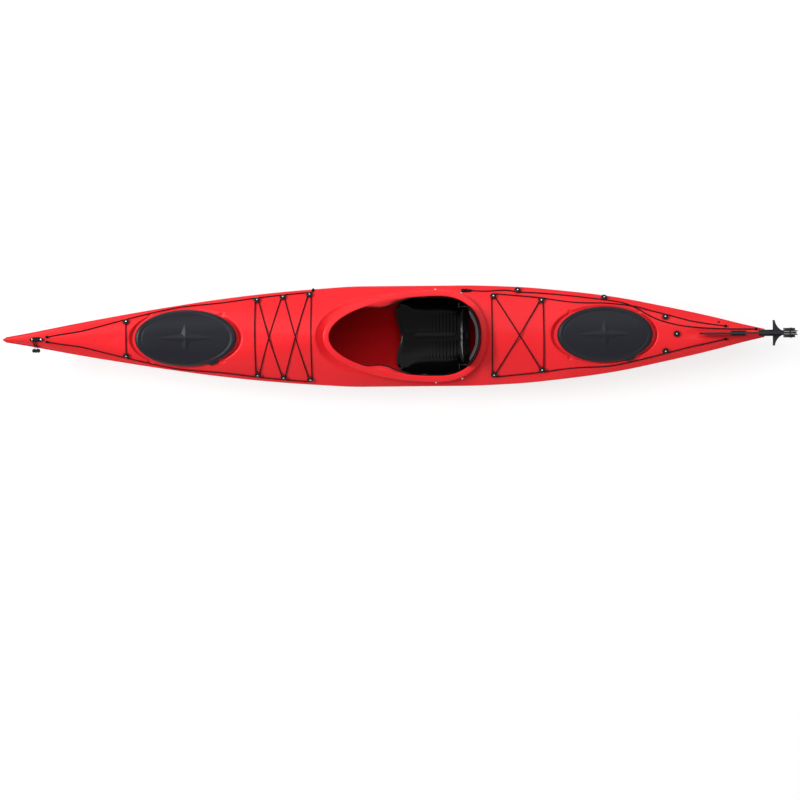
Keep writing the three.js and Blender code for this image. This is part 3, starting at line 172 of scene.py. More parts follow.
# %% A class for finishes
class Finish(Network):
    """A material with a Principled shader, and the nodes that feed it."""

    def __init__(self, name, **sockets):
        self.material = bpy.data.materials.new(name)
        self.material.use_nodes = True
        super().__init__(self.material.node_tree)
        self.shader = self.tree.nodes["Principled BSDF"]
        self.place = self.node("ShaderNodeTexCoord", output="Object")
        self.set(**sockets)

    def set(self, **sockets):
        """Sets sockets of the shader, each to a number, a colour or a value."""
        for key, value in sockets.items():
            self.feed(self.shader.inputs[key.replace("_", " ").title().replace("Ior", "IOR")], value)

    def noise(self, scale, detail=3.0, stretch=(1, 1, 1)):
        spread = self.node("ShaderNodeMapping", None, {"Vector": self.place, "Scale": stretch})
        return self.node("ShaderNodeTexNoise", None, {"Vector": spread, "Scale": scale, "Detail": detail})

    def cells(self, scale):
        return self.node("ShaderNodeTexVoronoi", {"feature": "F1"}, {"Vector": self.place, "Scale": scale})

    def between(self, factor, first, second):
        """A colour between two, by a factor."""
        return self.node("ShaderNodeMix", {"data_type": "RGBA"},
                         {"Factor": factor, 6: (*first, 1), 7: (*second, 1)}, output=2)

    def step(self, value, low, high):
        """The value, turned into a soft step from 0 to 1."""
        return self.node("ShaderNodeValToRGB", {"stops": [(low, 0), (high, 1)]}, {"Fac": value})

    def relief(self, height, metres):
        bump = self.node("ShaderNodeBump", None, {"Height": height, "Distance": metres, "Strength": 1.0})
        self.set(normal=bump)


print("made a class:", Finish.__doc__)

# %% [markdown]
# ## Studio light
#
# A red gloss surface shows its shape by what it reflects. The main light is a far, narrow
# lamp ahead of the bow: it lights the deck evenly, leaves what faces the stern darker, and
# draws the bright edges on the star of a hatch and the roll of the seat. A wide soft panel
# over the starboard side lifts that side. A weak lamp to port and a dim pale world keep the
# shadows open. The camera and the reflections see that world as white, but it lights the
# boat at a quarter of that.

# %% Lamps and world
def soft_lamp(name, place, aim, size, watts):
    """A square soft box at a place, turned towards a point."""
    lamp = bpy.data.lights.new(name, "AREA")
    lamp.shape = "RECTANGLE"
    lamp.size, lamp.size_y = size
    lamp.energy = watts
    holder = bpy.data.objects.new(name, lamp)
    holder.location = place
    holder.rotation_euler = (Vector(aim) - Vector(place)).to_track_quat("-Z", "Y").to_euler()
    bpy.context.collection.objects.link(holder)


def rays_of(network):
    """Two values, each 1 where the ray comes from the camera or from a reflection."""
    return [network.node("ShaderNodeLightPath", output=kind) for kind in ("Is Camera Ray", "Is Glossy Ray")]


LOW_DECK = (0, 0, 0.2)
soft_lamp("key_bow", (-14.0, 3.4, 13.0), LOW_DECK, (9.0, 2.2), 3100)
soft_lamp("panel_starboard", (0.6, 2.9, 4.6), (0.3, 0.4, 0), (9.0, 4.6), 155)
soft_lamp("fill_port", (0.8, -4.6, 3.0), LOW_DECK, (6.0, 1.6), 18)

world = bpy.data.worlds.new("studio")
world.use_nodes = True
bpy.context.scene.world = world
background = world.node_tree.nodes["Background"].inputs
background["Color"].default_value = (1, 1, 1, 1)
WORLD_LIGHT = 0.24
sky = Network(world.node_tree)
seen, mirrored = rays_of(sky)
sky.feed(background["Strength"], (seen + mirrored) * (1 - WORLD_LIGHT) + WORLD_LIGHT)
print("lamps:", len(bpy.data.lights), "and a world of strength", WORLD_LIGHT)

# %% [markdown]
# ## Finishes
#
# Most finishes start from the colour of the real material and add what the eye expects up
# close: the faint orange peel of moulded polyethylene, the fine grain of rubber, and the
# braid of a cord. The deck's red is paler and pinker than the hull's, though both are the
# same plastic: that is painted sheen. The inside's red is darker than both: that is painted
# shade. The boat's inside was never polished by the mould, so it is also duller.

# %% Red polyethylene
def red_polyethylene(name, lit, deep):
    """Moulded polyethylene, slightly uneven in colour and gloss."""
    made = Finish(name, specular_ior_level=0.17)
    drift = made.noise(3.0, 4.0)
    made.set(base_color=made.between(drift, lit, deep))
    made.set(roughness=made.noise(22.0, 5.0) * 0.14 + 0.25)
    made.relief(made.noise(260.0, 2.0), 0.00025)
    return made


HULL_RED = ((0.86, 0.004, 0.016), (0.80, 0.002, 0.012))
# The deck's red is paler and pinker than the hull's, though both are the same plastic: that is painted sheen.
DECK_RED_PAINTED_SHEEN = ((0.88, 0.024, 0.030), (0.82, 0.016, 0.024))
# The inside's red is darker than the outside's: that is painted shade inside the boat.
INSIDE_RED_PAINTED_SHADE = ((0.62, 0.0006, 0.005), (0.50, 0.0004, 0.003))
red_hull = red_polyethylene("red_hull", *HULL_RED)
red_deck_painted_sheen = red_polyethylene("red_deck_painted_sheen", *DECK_RED_PAINTED_SHEEN)
red_inside_painted_shade = red_polyethylene("red_inside_painted_shade", *INSIDE_RED_PAINTED_SHADE)
red_inside_painted_shade.set(roughness=red_inside_painted_shade.noise(30.0, 4.0) * 0.2 + 0.55, specular_ior_level=0.1)
print("finishes", red_hull.material.name, red_deck_painted_sheen.material.name, red_inside_painted_shade.material.name)


# %% Rubber, plastics and foam
def grained(name, light, dark, grain, depth, rough, shine):
    """A black or grey with a fine grain, whose size and depth are given in metres."""
    made = Finish(name, specular_ior_level=shine)
    made.set(base_color=made.between(made.noise(9.0, 5.0), light, dark))
    made.set(roughness=made.noise(35.0, 4.0) * 0.16 + rough)
    made.relief(made.noise(1 / grain, 3.0), depth)
    return made


hatch_rubber = grained(
    "hatch_rubber", (0.013, 0.014, 0.020), (0.009, 0.009, 0.013), 0.0012, 0.0003, rough=0.27, shine=0.14)
satin_plastic = grained(
    "satin_plastic", (0.007, 0.007, 0.008), (0.004, 0.004, 0.005), 0.0016, 0.00012, rough=0.2, shine=0.14)
rudder_plastic = grained(
    "rudder_plastic", (0.016, 0.018, 0.022), (0.010, 0.011, 0.014), 0.002, 0.0002, rough=0.36, shine=0.2)
seat_plastic = grained(
    "seat_plastic", (0.002, 0.002, 0.0022), (0.0012, 0.0012, 0.0014), 0.004, 0.0001, rough=0.1, shine=0.075)
grey_foam = grained(
    "grey_foam", (0.055, 0.058, 0.066), (0.038, 0.040, 0.046), 0.0022, 0.0006, rough=0.78, shine=0.4)
grains = (hatch_rubber, satin_plastic, rudder_plastic, seat_plastic, grey_foam)
print("finishes", *[made.material.name for made in grains])


# %% Braided cord and steel
def braided_cord(name):
    """Black cord whose plaits show as small cells, with a grey fleck here and there."""
    made = Finish(name, specular_ior_level=0.1)
    plaits = made.cells(620.0)
    fleck = made.step(made.noise(300.0, 1.0), 0.62, 0.7)
    made.set(base_color=made.between(fleck, (0.003, 0.003, 0.0035), (0.016, 0.016, 0.018)))
    made.set(roughness=made.noise(80.0) * 0.1 + 0.68)
    made.relief(1 - plaits, 0.0006)
    return made


cord_black = braided_cord("cord_black")
black_steel = Finish("blackened_steel", metallic=1.0, roughness=0.35)
oxide = black_steel.noise(90.0)
black_steel.set(base_color=black_steel.between(oxide, (0.03, 0.03, 0.032), (0.018, 0.018, 0.02)))
steel = Finish("screw_steel", metallic=1.0)
steel.set(base_color=steel.between(steel.noise(60.0), (0.62, 0.63, 0.64), (0.5, 0.51, 0.52)))
steel.set(roughness=steel.noise(400.0, 2.0, (1, 1, 8)) * 0.2 + 0.18)
print("finishes", cord_black.material.name, black_steel.material.name, steel.material.name)

# %% [markdown]
# ## The lines of the boat
#
# A boat is drawn as a few fair lines that run from end to end: keel, chine, crease, seam
# and ridge. Each is a table of heights or breadths against the share of the length, and
# the skin is stretched between them. The same tables made the frame, so the smooth skin
# here lies on the frame's own faces.

# %% Tables of the lines
LENGTH, HALF_BEAM, BOW_HEIGHT = 4.5, 0.3, 0.394
ORIGIN_STATION = 2.332
WALL = 0.005
SEAM_RISE, SEAM_RISE_SHARE, SEAM_INSET = 0.026, 0.3, 0.007
RIDGE_ROUND = 0.16
KEEL_FLAT, KEEL_FLAT_SHARE = 0.042, 0.3

CREASE_BEAM = [
    (0, 0.03), (0.03, 0.12), (0.09, 0.3), (0.155, 0.476), (0.218, 0.631), (0.281, 0.767),
    (0.344, 0.874), (0.407, 0.951), (0.47, 1), (0.6, 1), (0.67, 0.965), (0.735, 0.877),
    (0.8, 0.75), (0.865, 0.557), (0.93, 0.33), (0.97, 0.17), (1, 0.06),
]
KEEL_HEIGHT = [
    (0, 0.926), (0.026, 0.688), (0.052, 0.467), (0.078, 0.305), (0.104, 0.185), (0.14, 0.13),
    (0.2, 0.085), (0.3, 0.05), (0.42, 0), (0.62, 0), (0.74, 0.03), (0.84, 0.11),
    (0.94, 0.19), (0.985, 0.235), (0.99, 0.3), (1, 0.74),
]
RIDGE_HEIGHT = [
    (0, 1), (0.03, 0.97), (0.07, 0.92), (0.12, 0.865), (0.17, 0.853), (0.24, 0.86),
    (0.31, 0.905), (0.36, 0.97), (0.405, 1), (0.45, 1), (0.53, 0.94), (0.62, 0.865),
    (0.65, 0.838), (0.7, 0.793), (0.8, 0.79), (0.86, 0.78), (0.91, 0.777), (0.94, 0.808),
    (0.975, 0.835), (1, 0.838),
]
CREASE_HEIGHT = [
    (0, 0.955), (0.03, 0.84), (0.078, 0.741), (0.13, 0.68), (0.182, 0.645), (0.26, 0.604),
    (0.36, 0.572), (0.44, 0.552), (0.545, 0.515), (0.65, 0.515), (0.75, 0.558), (0.856, 0.594),
    (0.908, 0.632), (0.96, 0.715), (1, 0.79),
]
CHINE_HEIGHT = [
    (0, 0.94), (0.026, 0.72), (0.052, 0.58), (0.09, 0.48), (0.13, 0.42), (0.182, 0.355),
    (0.26, 0.29), (0.337, 0.238), (0.4, 0.2), (0.62, 0.2), (0.7, 0.235), (0.8, 0.284),
    (0.856, 0.33), (0.908, 0.39), (0.96, 0.5), (0.985, 0.56), (1, 0.765),
]
CHINE_BEAM = [
    (0, 0.6), (0.05, 0.55), (0.13, 0.66), (0.233, 0.79), (0.337, 0.86), (0.45, 0.89),
    (0.6, 0.89), (0.7, 0.87), (0.8, 0.81), (0.9, 0.66), (0.97, 0.5), (1, 0.6),
]
CROWN_POWER = [
    (0, 1.6), (0.1, 2.1), (0.16, 2.6), (0.28, 2.6), (0.34, 1.5), (0.4, 1.25),
    (0.5, 1.5), (0.64, 1.4), (0.7, 1.4), (0.75, 2.2), (0.87, 2.6), (0.95, 2), (1, 1.6),
]
print("tables for a boat of", LENGTH, "m by", 2 * HALF_BEAM, "m")


# %% The lines at a station
def along(table, t):
    """Fair curve through a table, without overshoot (a monotone cubic)."""
    last = len(table) - 2
    i = 0
    while i < last and t > table[i + 1][0]:
        i += 1

    def slope(k):
        return (table[k + 1][1] - table[k][1]) / (table[k + 1][0] - table[k][0])

    def tangent(k):
        if k in (0, last + 1):
            return slope(0 if k == 0 else last)
        before, after = slope(k - 1), slope(k)
        return 0 if before * after <= 0 else 2 * before * after / (before + after)

    width = table[i + 1][0] - table[i][0]
    u = min(1, max(0, (t - table[i][0]) / width))
    low = table[i][1] * (1 + 2 * u) * (1 - u) ** 2
    high = table[i + 1][1] * u * u * (3 - 2 * u)
    return low + high + width * (tangent(i) * u * (1 - u) ** 2 - tangent(i + 1) * u * u * (1 - u))


class Lines:
    """Main points of the boat's section at a station, in metres."""

    def __init__(self, station):
        t = station / LENGTH
        self.keel = along(KEEL_HEIGHT, t) * BOW_HEIGHT
        self.chine = along(CHINE_HEIGHT, t) * BOW_HEIGHT
        self.crease = along(CREASE_HEIGHT, t) * BOW_HEIGHT
        self.ridge = along(RIDGE_HEIGHT, t) * BOW_HEIGHT
        self.beam = along(CREASE_BEAM, t) * HALF_BEAM
        self.chine_beam = along(CHINE_BEAM, t) * self.beam
        rise = min(SEAM_RISE, SEAM_RISE_SHARE * (self.ridge - self.crease))
        self.seam = self.crease + rise
        self.seam_beam = self.beam - SEAM_INSET * rise / SEAM_RISE
        self.power = along(CROWN_POWER, t)


lines = functools.lru_cache(maxsize=None)(Lines)


def crown(station, side):
    """Height of the fair deck, before anything is moulded into it."""
    at = lines(station)
    rounding = lambda u: math.hypot(u, RIDGE_ROUND) - RIDGE_ROUND
    u = min(1, abs(side) / at.seam_beam)
    return at.ridge - (at.ridge - at.seam) * (rounding(u) / rounding(1)) ** at.power


print("beam amidships", 2 * lines(2.3).beam, "m, ridge", round(lines(2.0).ridge, 3), "m high")

# %% [markdown]
# ## Bending a grid into a skin
#
# Every moulded surface here is a sheet of squares before it is a boat. A grid of unit size
# is created, and each of its corners is moved to the place on the surface that its two
# coordinates stand for. Where a sheet closes on itself, the doubled corners are merged.

# %% Helpers that make pieces
MERGE = 1e-5


def as_object(bm, name):
    """Turns a bmesh into an object of the scene."""
    mesh = bpy.data.meshes.new(name)
    bm.to_mesh(mesh)
    bm.free()
    made = bpy.data.objects.new(name, mesh)
    bpy.context.collection.objects.link(made)
    return made


def finish_piece(bm, name, finish, body):
    """Turns a bmesh into a piece of the boat that rides on a body."""
    piece = as_object(bm, name)
    for polygon in piece.data.polygons:
        polygon.use_smooth = True
    piece.data.materials.append(finish.material)
    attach(piece, body)
    return piece


def merged_copy(node):
    """A bmesh of a frame piece, whose loose triangles are joined at their corners."""
    bm = bmesh.new()
    bm.from_mesh(node.data)
    bmesh.ops.remove_doubles(bm, verts=bm.verts, dist=MERGE)
    return bm


def joined_to(bm, part):
    """Adds one bmesh to another."""
    mesh = bpy.data.meshes.new("part")
    part.to_mesh(mesh)
    part.free()
    bm.from_mesh(mesh)
    bpy.data.meshes.remove(mesh)


def with_modifiers(piece, *modifiers):
    """Adds modifiers, each as (kind, settings), and applies them."""
    for kind, settings in modifiers:
        modifier = piece.modifiers.new(kind.title(), kind)
        for key, value in settings.items():
            setattr(modifier, key, value)
    graph = bpy.context.evaluated_depsgraph_get()
    mesh = bpy.data.meshes.new_from_object(piece.evaluated_get(graph), depsgraph=graph)
    piece.modifiers.clear()
    old, piece.data = piece.data, mesh
    bpy.data.meshes.remove(old)
    return piece


def at(station, side, height):
    """A place given by its distance aft of the bow, as a point of the scene."""
    return Vector((station - ORIGIN_STATION, side, height))


print("corners closer than", MERGE, "m count as one")


# %% Helpers that shape a bmesh
def face_out(bm):
    """Turns every face outwards."""
    bmesh.ops.recalc_face_normals(bm, faces=bm.faces)


def close_ends(bm):
    """Fills the holes that a grid leaves open at its ends."""
    bmesh.ops.holes_fill(bm, edges=[edge for edge in bm.edges if edge.is_boundary])


def bent_grid(columns, rows, place):
    """A grid whose corners (u, v), both from 0 to 1, are moved to place(u, v)."""
    bm = bmesh.new()
    bmesh.ops.create_grid(bm, x_segments=columns, y_segments=rows, size=0.5)
    for vert in bm.verts:
        vert.co = place(vert.co.x + 0.5, vert.co.y + 0.5)
    bmesh.ops.remove_doubles(bm, verts=bm.verts, dist=MERGE)
    bmesh.ops.dissolve_degenerate(bm, edges=bm.edges, dist=MERGE / 10)
    face_out(bm)
    return bm


def sharper_than(bm, degrees):
    """The edges between two faces that meet at more than an angle."""
    limit = math.radians(degrees)
    return [edge for edge in bm.edges if len(edge.link_faces) == 2 and edge.calc_face_angle(0) > limit]


def sharpen(bm, degrees):
    """Keeps the edges sharper than an angle crisp under smooth shading."""
    for edge in sharper_than(bm, degrees):
        edge.smooth = False


def round_off(bm, geom, radius, segments=2, affect="EDGES", clamp=True):
    """Rounds edges or corners by a radius."""
    bmesh.ops.bevel(bm, geom=geom, offset=radius, offset_type="OFFSET", segments=segments, profile=0.5,
                    affect=affect, clamp_overlap=clamp, material=-1)


def shifted(bm, result, vec):
    """Moves the corners that an extrusion has just made."""
    made = [item for item in result["geom"] if isinstance(item, bmesh.types.BMVert)]
    bmesh.ops.translate(bm, verts=made, vec=vec)


sample = bent_grid(4, 3, lambda u, v: (u, v, 0))
print("a grid of 4 by 3 has", len(sample.faces), "faces")
sample.free()

# %% [markdown]
# ## What is moulded into the deck
#
# The deck isn't a plain crown. A trough runs round the cockpit's rim, widest in front, so
# that water drains past it. Each hatch lies in an oval recess, and the folded rudder blade
# lies in a hollow along the middle of the stern. Each of them is a depth that fades out
# with the distance from an outline in plan.

# %% Outlines of the cockpit and hatches
COCKPIT_FRONT, COCKPIT_REAR, COCKPIT_WIDEST, COCKPIT_HALF = 1.915, 2.812, 2.56, 0.236
COCKPIT_SQUARENESS = 2.25
LIP = 0.034
HATCHES = {"front": (1.071, 0.3, 0.168), "rear": (3.545, 0.283, 0.166)}
RIM_HEIGHT = [
    (0, 1.05), (0.2, 0.96), (0.35, 0.89), (0.5, 0.833), (0.65, 0.8), (0.79, 0.787),
    (0.9, 0.81), (0.96, 0.86), (1, 0.905),
]


def signed_power(value, power):
    return math.copysign(abs(value) ** power, value)


def cockpit_outline(angle, outward):
    """Station and side of the cockpit's edge, moved outwards by a distance."""
    aft = math.cos(angle) > 0
    power = 2 / COCKPIT_SQUARENESS if aft else 1
    reach = (COCKPIT_REAR - COCKPIT_WIDEST if aft else COCKPIT_WIDEST - COCKPIT_FRONT) + outward
    return (COCKPIT_WIDEST + reach * signed_power(math.cos(angle), power),
            (COCKPIT_HALF + outward) * signed_power(math.sin(angle), power))


def rim_height(station):
    span = COCKPIT_REAR - COCKPIT_FRONT + 2 * LIP
    return along(RIM_HEIGHT, (station - COCKPIT_FRONT + LIP) / span) * BOW_HEIGHT


def hatch_outline(hatch, angle, inward):
    station, half_length, half_width = hatch
    return (station + (half_length - inward) * math.cos(angle), (half_width - inward) * math.sin(angle))


turns = [2 * math.pi * i / 240 for i in range(240)]
lip_line = np.array([cockpit_outline(angle, LIP) for angle in turns])
print("cockpit", round(COCKPIT_REAR - COCKPIT_FRONT, 3), "m by", 2 * COCKPIT_HALF, "m")


# %% Trough round the cockpit
TROUGH_DEPTH, TROUGH_SIDE_DEPTH, TROUGH_FRONT, TROUGH_SIDE = 0.032, 0.010, 0.045, 0.017
TROUGH_NARROW, TROUGH_BLEND, TROUGH_POWER, TROUGH_ENDS = 2.25, 0.4, 0.7, 0.12


def soft_step(value):
    u = min(1, max(0, value))
    return u * u * (3 - 2 * u)


def trough(station, side):
    """Depth of the trough round the cockpit's rim."""
    away = float(np.min(np.hypot(lip_line[:, 0] - station, lip_line[:, 1] - side)))
    ahead = soft_step((TROUGH_NARROW - station) / TROUGH_BLEND)
    width = TROUGH_SIDE + (TROUGH_FRONT - TROUGH_SIDE) * ahead
    deep = TROUGH_SIDE_DEPTH + (TROUGH_DEPTH - TROUGH_SIDE_DEPTH) * ahead
    return deep * min(1, max(0, 1 - away / width)) ** TROUGH_POWER


print("trough in front of the rim:", round(trough(COCKPIT_FRONT - LIP, 0), 4), "m deep")

# %% Recesses of the hatches
RECESS_DEPTH, RECESS_SIDE_DEPTH, RECESS_POWER = 0.022, 0.010, 1.5
RECESS_ENDS, RECESS_SIDES, RECESS_WALL, RECESS_SHIFT = 0.036, 0.011, 0.009, -0.003
POCKET_X, POCKET_Y, POCKET_REACH, POCKET_SIZE, POCKET_SHARE = 0.70, 0.78, 1.03, 0.017, 0.7


def recess(hatch, station, side):
    """Depth of the oval recess that a hatch lies in, and of the finger pockets at its corners."""
    middle, half_length, half_width = hatch
    x = (station - middle - RECESS_SHIFT) / (half_length + RECESS_ENDS)
    y = side / (half_width + RECESS_SIDES)
    inside = (1 - math.hypot(x, y)) * half_width
    pocket_x = math.copysign(POCKET_X * half_length * POCKET_REACH, station - middle)
    pocket_y = math.copysign(POCKET_Y * half_width * POCKET_REACH, side)
    away = math.hypot(station - middle - pocket_x, side - pocket_y)
    pocket = soft_step((POCKET_SIZE - away) / (0.5 * POCKET_SIZE))
    deep = RECESS_SIDE_DEPTH + (RECESS_DEPTH - RECESS_SIDE_DEPTH) * min(1, x * x) ** RECESS_POWER
    return deep * max(soft_step(inside / RECESS_WALL), POCKET_SHARE * pocket)


for hatch_name, hatch in HATCHES.items():
    print(hatch_name, "recess at the cover's end:", round(recess(hatch, hatch[0] + hatch[1], 0), 4), "m deep")

# %% Hollow of the rudder blade, and the whole deck
HOLLOW_DEPTH, HOLLOW_HALF, HOLLOW_SIDE = 0.009, 0.026, -0.004
HOLLOW_FROM, HOLLOW_TO, HOLLOW_RUN_IN, HOLLOW_RUN_OUT = 3.99, 4.45, 0.12, 0.05
DIMPLE = (0.65, 0.004, 0.026, 0.003)


def hollow(station, side):
    """Depth of the hollow under the folded rudder blade, and of the dimple at the bow."""
    ends = soft_step((station - HOLLOW_FROM) / HOLLOW_RUN_IN)
    ends *= soft_step((HOLLOW_TO - station) / HOLLOW_RUN_OUT)
    depth = HOLLOW_DEPTH * ends * math.exp(-(((side - HOLLOW_SIDE) / HOLLOW_HALF) ** 2))
    x, y, radius, dimple_depth = DIMPLE
    return depth + dimple_depth * math.exp(-(((station - x) ** 2 + (side - y) ** 2) / radius ** 2))


def deck_height(station, side):
    """Height of the deck with everything that is moulded into it."""
    depth = hollow(station, side)
    if COCKPIT_FRONT - TROUGH_ENDS < station < COCKPIT_REAR + TROUGH_ENDS:
        depth += trough(station, side)
    for hatch in HATCHES.values():
        if abs(station - hatch[0]) < hatch[1] + RECESS_ENDS:
            depth = max(depth, recess(hatch, station, side))
    return crown(station, side) - depth


print("deck over the hollow:", round(deck_height((HOLLOW_FROM + HOLLOW_TO) / 2, HOLLOW_SIDE), 4), "m high")

# %% [markdown]
# ## Deck and hull
#
# The deck is one grid, bent over the crown from seam to seam, and given a wall. The
# cockpit and the hatches are then cut through it with prisms. The hull is a second grid,
# bent round from seam to seam under the keel. It turns in by a millimetre at the seam, so
# that the joint shows as a fine dark line. Both are rounded over at the stem and stern.

# %% Rows of the deck
NOSE, TAIL, SHEET_GAP = 0.012, 0.010, 0.0003
ROW_GROWTH, ROW_CLEAR, END_ROW, END_GROWTH = 0.16, 0.06, 0.0015, 0.25


def end_rounding(station):
    """Share of its breadth that a section keeps close to the stem or the stern."""
    bow = min(1, station / NOSE)
    stern = min(1, (LENGTH - station) / TAIL)
    return math.sqrt(max(0, 1 - (1 - bow) ** 2)) * math.sqrt(max(0, 1 - (1 - stern) ** 2))


def crowded_rows(plain, fine, places):
    """Stations of the rows, which crowd near both ends and near the places given."""
    rows = [0.0]
    while rows[-1] < LENGTH:
        near = min(abs(rows[-1] - place) for place in places)
        ends = min(rows[-1], LENGTH - rows[-1])
        near_step = fine + ROW_GROWTH * max(0, near - ROW_CLEAR)
        rows.append(rows[-1] + min(near_step, END_ROW + END_GROWTH * ends, plain))
    return [row * LENGTH / rows[-1] for row in rows]


def deck_place(u, v):
    station = deck_rows[round(v * (len(deck_rows) - 1))]
    section = lines(station)
    share = math.sin(math.pi * (u - 0.5))
    side = section.seam_beam * share * end_rounding(station)
    height = deck_height(station, side) if abs(share) < 1 else section.seam + SHEET_GAP
    return at(station, side, height)


hatch_ends = [middle + hand * half for middle, half, _ in HATCHES.values() for hand in (-1, 1)]
deck_rows = crowded_rows(0.016, 0.006, [*hatch_ends, COCKPIT_FRONT - LIP, COCKPIT_REAR + LIP, DIMPLE[0]])
print(len(deck_rows), "rows of the deck")

# %% Section of the hull
SEAM_TUCK, SEAM_TUCK_FROM = 0.0012, 0.8
HULL_HOLLOW, HULL_SWELL = 0.06, 0.035
KEEL_SHARE, CHINE_SHARE, CREASE_SHARE = 0.12, 0.5, 0.88


def hull_outline(section, u):
    """Point of the half section: u runs from the keel at 0 to the seam at 1."""
    flat = min(KEEL_FLAT, section.chine_beam * KEEL_FLAT_SHARE)
    if u < KEEL_SHARE:
        return flat * u / KEEL_SHARE, section.keel
    if u < CHINE_SHARE:
        w = (u - KEEL_SHARE) / (CHINE_SHARE - KEEL_SHARE)
        rise = section.chine - section.keel
        return (flat + (section.chine_beam - flat) * w,
                section.keel + rise * w - HULL_HOLLOW * rise * math.sin(math.pi * w))
    if u < CREASE_SHARE:
        w = (u - CHINE_SHARE) / (CREASE_SHARE - CHINE_SHARE)
        rise = section.crease - section.chine
        swell = HULL_SWELL * rise * math.sin(math.pi * w)
        return section.chine_beam + (section.beam - section.chine_beam) * w + swell, section.chine + rise * w
    w = (u - CREASE_SHARE) / (1 - CREASE_SHARE)
    tuck = SEAM_TUCK * soft_step((w - SEAM_TUCK_FROM) / (1 - SEAM_TUCK_FROM))
    return (section.beam + (section.seam_beam - section.beam) * w - tuck,
            section.crease + (section.seam - section.crease) * w)


def hull_place(u, v):
    station = hull_rows[round(v * (len(hull_rows) - 1))]
    side, height = hull_outline(lines(station), abs(2 * u - 1))
    return at(station, math.copysign(side * end_rounding(station), u - 0.5), height)


hull_rows = crowded_rows(0.02, 0.02, [0])
print(len(hull_rows), "rows of the hull")

# %% Deck with its openings
CUTTER_HEIGHT = 0.6


def moulding(name, place, columns, rows, finish):
    """A skin of the boat: a bent grid with a wall, glossy outside, and dull inside, where a darker red is
    painted shade.
    """
    piece = finish_piece(bent_grid(columns, len(rows) - 1, place), name, finish, "hull")
    piece.data.materials.append(red_inside_painted_shade.material)
    return with_modifiers(piece, ("SOLIDIFY", {"thickness": WALL, "offset": -1, "material_offset": 1}))


def prism(outline):
    """A tall cutter over an outline of stations and sides."""
    bm = bmesh.new()
    bm.faces.new([bm.verts.new(at(station, side, 0)) for station, side in outline])
    shifted(bm, bmesh.ops.extrude_face_region(bm, geom=bm.faces[:]), (0, 0, CUTTER_HEIGHT))
    face_out(bm)
    return as_object(bm, "cutter")


def cut(piece, outlines):
    """Cuts prisms over outlines through a piece."""
    for outline in outlines:
        cutter = prism(outline)
        with_modifiers(piece, ("BOOLEAN", {"operation": "DIFFERENCE", "solver": "EXACT", "object": cutter}))
        bpy.data.objects.remove(cutter)


RIM_INSET, RIM_WALL, CUT_MARGIN = 0.024, 0.005, 0.002
DECK_COLUMNS = 88
deck_moulding = moulding("deck_moulding", deck_place, DECK_COLUMNS, deck_rows, red_deck_painted_sheen)
hatch_openings = [[hatch_outline(hatch, angle, RIM_INSET - RIM_WALL / 2) for angle in turns[::4]]
                  for hatch in HATCHES.values()]
cut(deck_moulding, [[cockpit_outline(angle, CUT_MARGIN) for angle in turns[::2]], *hatch_openings])
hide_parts("deck_shell")
print("deck", len(deck_moulding.data.polygons), "faces")

# %% Hull
HULL_COLUMNS = 80
hull_moulding = moulding("hull_moulding", hull_place, HULL_COLUMNS, hull_rows, red_hull)
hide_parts("hull_shell")
print("hull", len(hull_moulding.data.polygons), "faces")

# %% [markdown]
# ## Rims
#
# The coaming is the raised rim that a spray deck grips: a thin wall that turns over into a
# lip. Its section is swept round the opening by a grid whose one side runs round the
# section and the other round the cockpit. The hatch rims are made in the same way.

# %% Coaming
def swept_rim(name, section, turns_count):
    """A closed section, given by section(angle) as points, swept once round."""
    count = len(section(0))

    def place(u, v):
        points = section(2 * math.pi * v)
        step = u * count
        i = int(min(step, count - 1e-9))
        return points[i % count].lerp(points[(i + 1) % count], step - i)

    bm = bent_grid(count * 3, turns_count, place)
    sharpen(bm, 50)
    return finish_piece(bm, name, red_deck_painted_sheen, "hull")


COAMING_WALL, COAMING_FOOT, LIP_EDGE, LIP_DROP, LIP_SLOPE = 0.006, 0.016, 0.006, 0.017, 0.003
# The section from the inner edge over the lip and back, as (outwards, below the rim).
COAMING_SECTION = [
    (0, 0.003), (0.0012, 0.0008), (0.004, 0), (LIP - 0.007, LIP_SLOPE), (LIP - 0.002, LIP_SLOPE + 0.002),
    (LIP, LIP_SLOPE + 0.007), (LIP, LIP_DROP), (LIP - LIP_EDGE, LIP_DROP),
    (LIP - LIP_EDGE, LIP_SLOPE + LIP_EDGE), (COAMING_WALL + 0.004, LIP_EDGE),
    (COAMING_WALL, LIP_EDGE + 0.004),
]


def coaming_section(angle):
    rim = rim_height(cockpit_outline(angle, LIP / 2)[0])
    foot = crown(*cockpit_outline(angle, COAMING_WALL / 2)) - WALL - COAMING_FOOT
    corners = [(outward, rim - drop) for outward, drop in COAMING_SECTION]
    return [at(*cockpit_outline(angle, outward), height)
            for outward, height in [*corners, (COAMING_WALL, foot), (0, foot)]]


coaming = swept_rim("coaming", coaming_section, 160)
print("coaming", len(coaming.data.polygons), "faces")

# %% Hatch rims
RIM_RISE, RIM_BEAD, RIM_LIP, RIM_FOOT = 0.011, 0.005, 0.004, -0.028


def hatch_rim_section(hatch):
    def section(angle):
        def place(inward, lift):
            station, side = hatch_outline(hatch, angle, inward)
            return at(station, side, crown(station, side) + lift)

        outer = RIM_INSET - RIM_WALL
        return [
            place(RIM_INSET, RIM_RISE), place(outer - RIM_BEAD, RIM_RISE),
            place(outer - RIM_BEAD, RIM_RISE - RIM_LIP), place(outer, RIM_RISE - RIM_LIP),
            place(outer, RIM_FOOT), place(RIM_INSET, RIM_FOOT),
        ]
    return section


for hatch_name, hatch in HATCHES.items():
    swept_rim(f"{hatch_name}_hatch_rim", hatch_rim_section(hatch), 96)
print("rims round the cockpit and", len(HATCHES), "hatches")

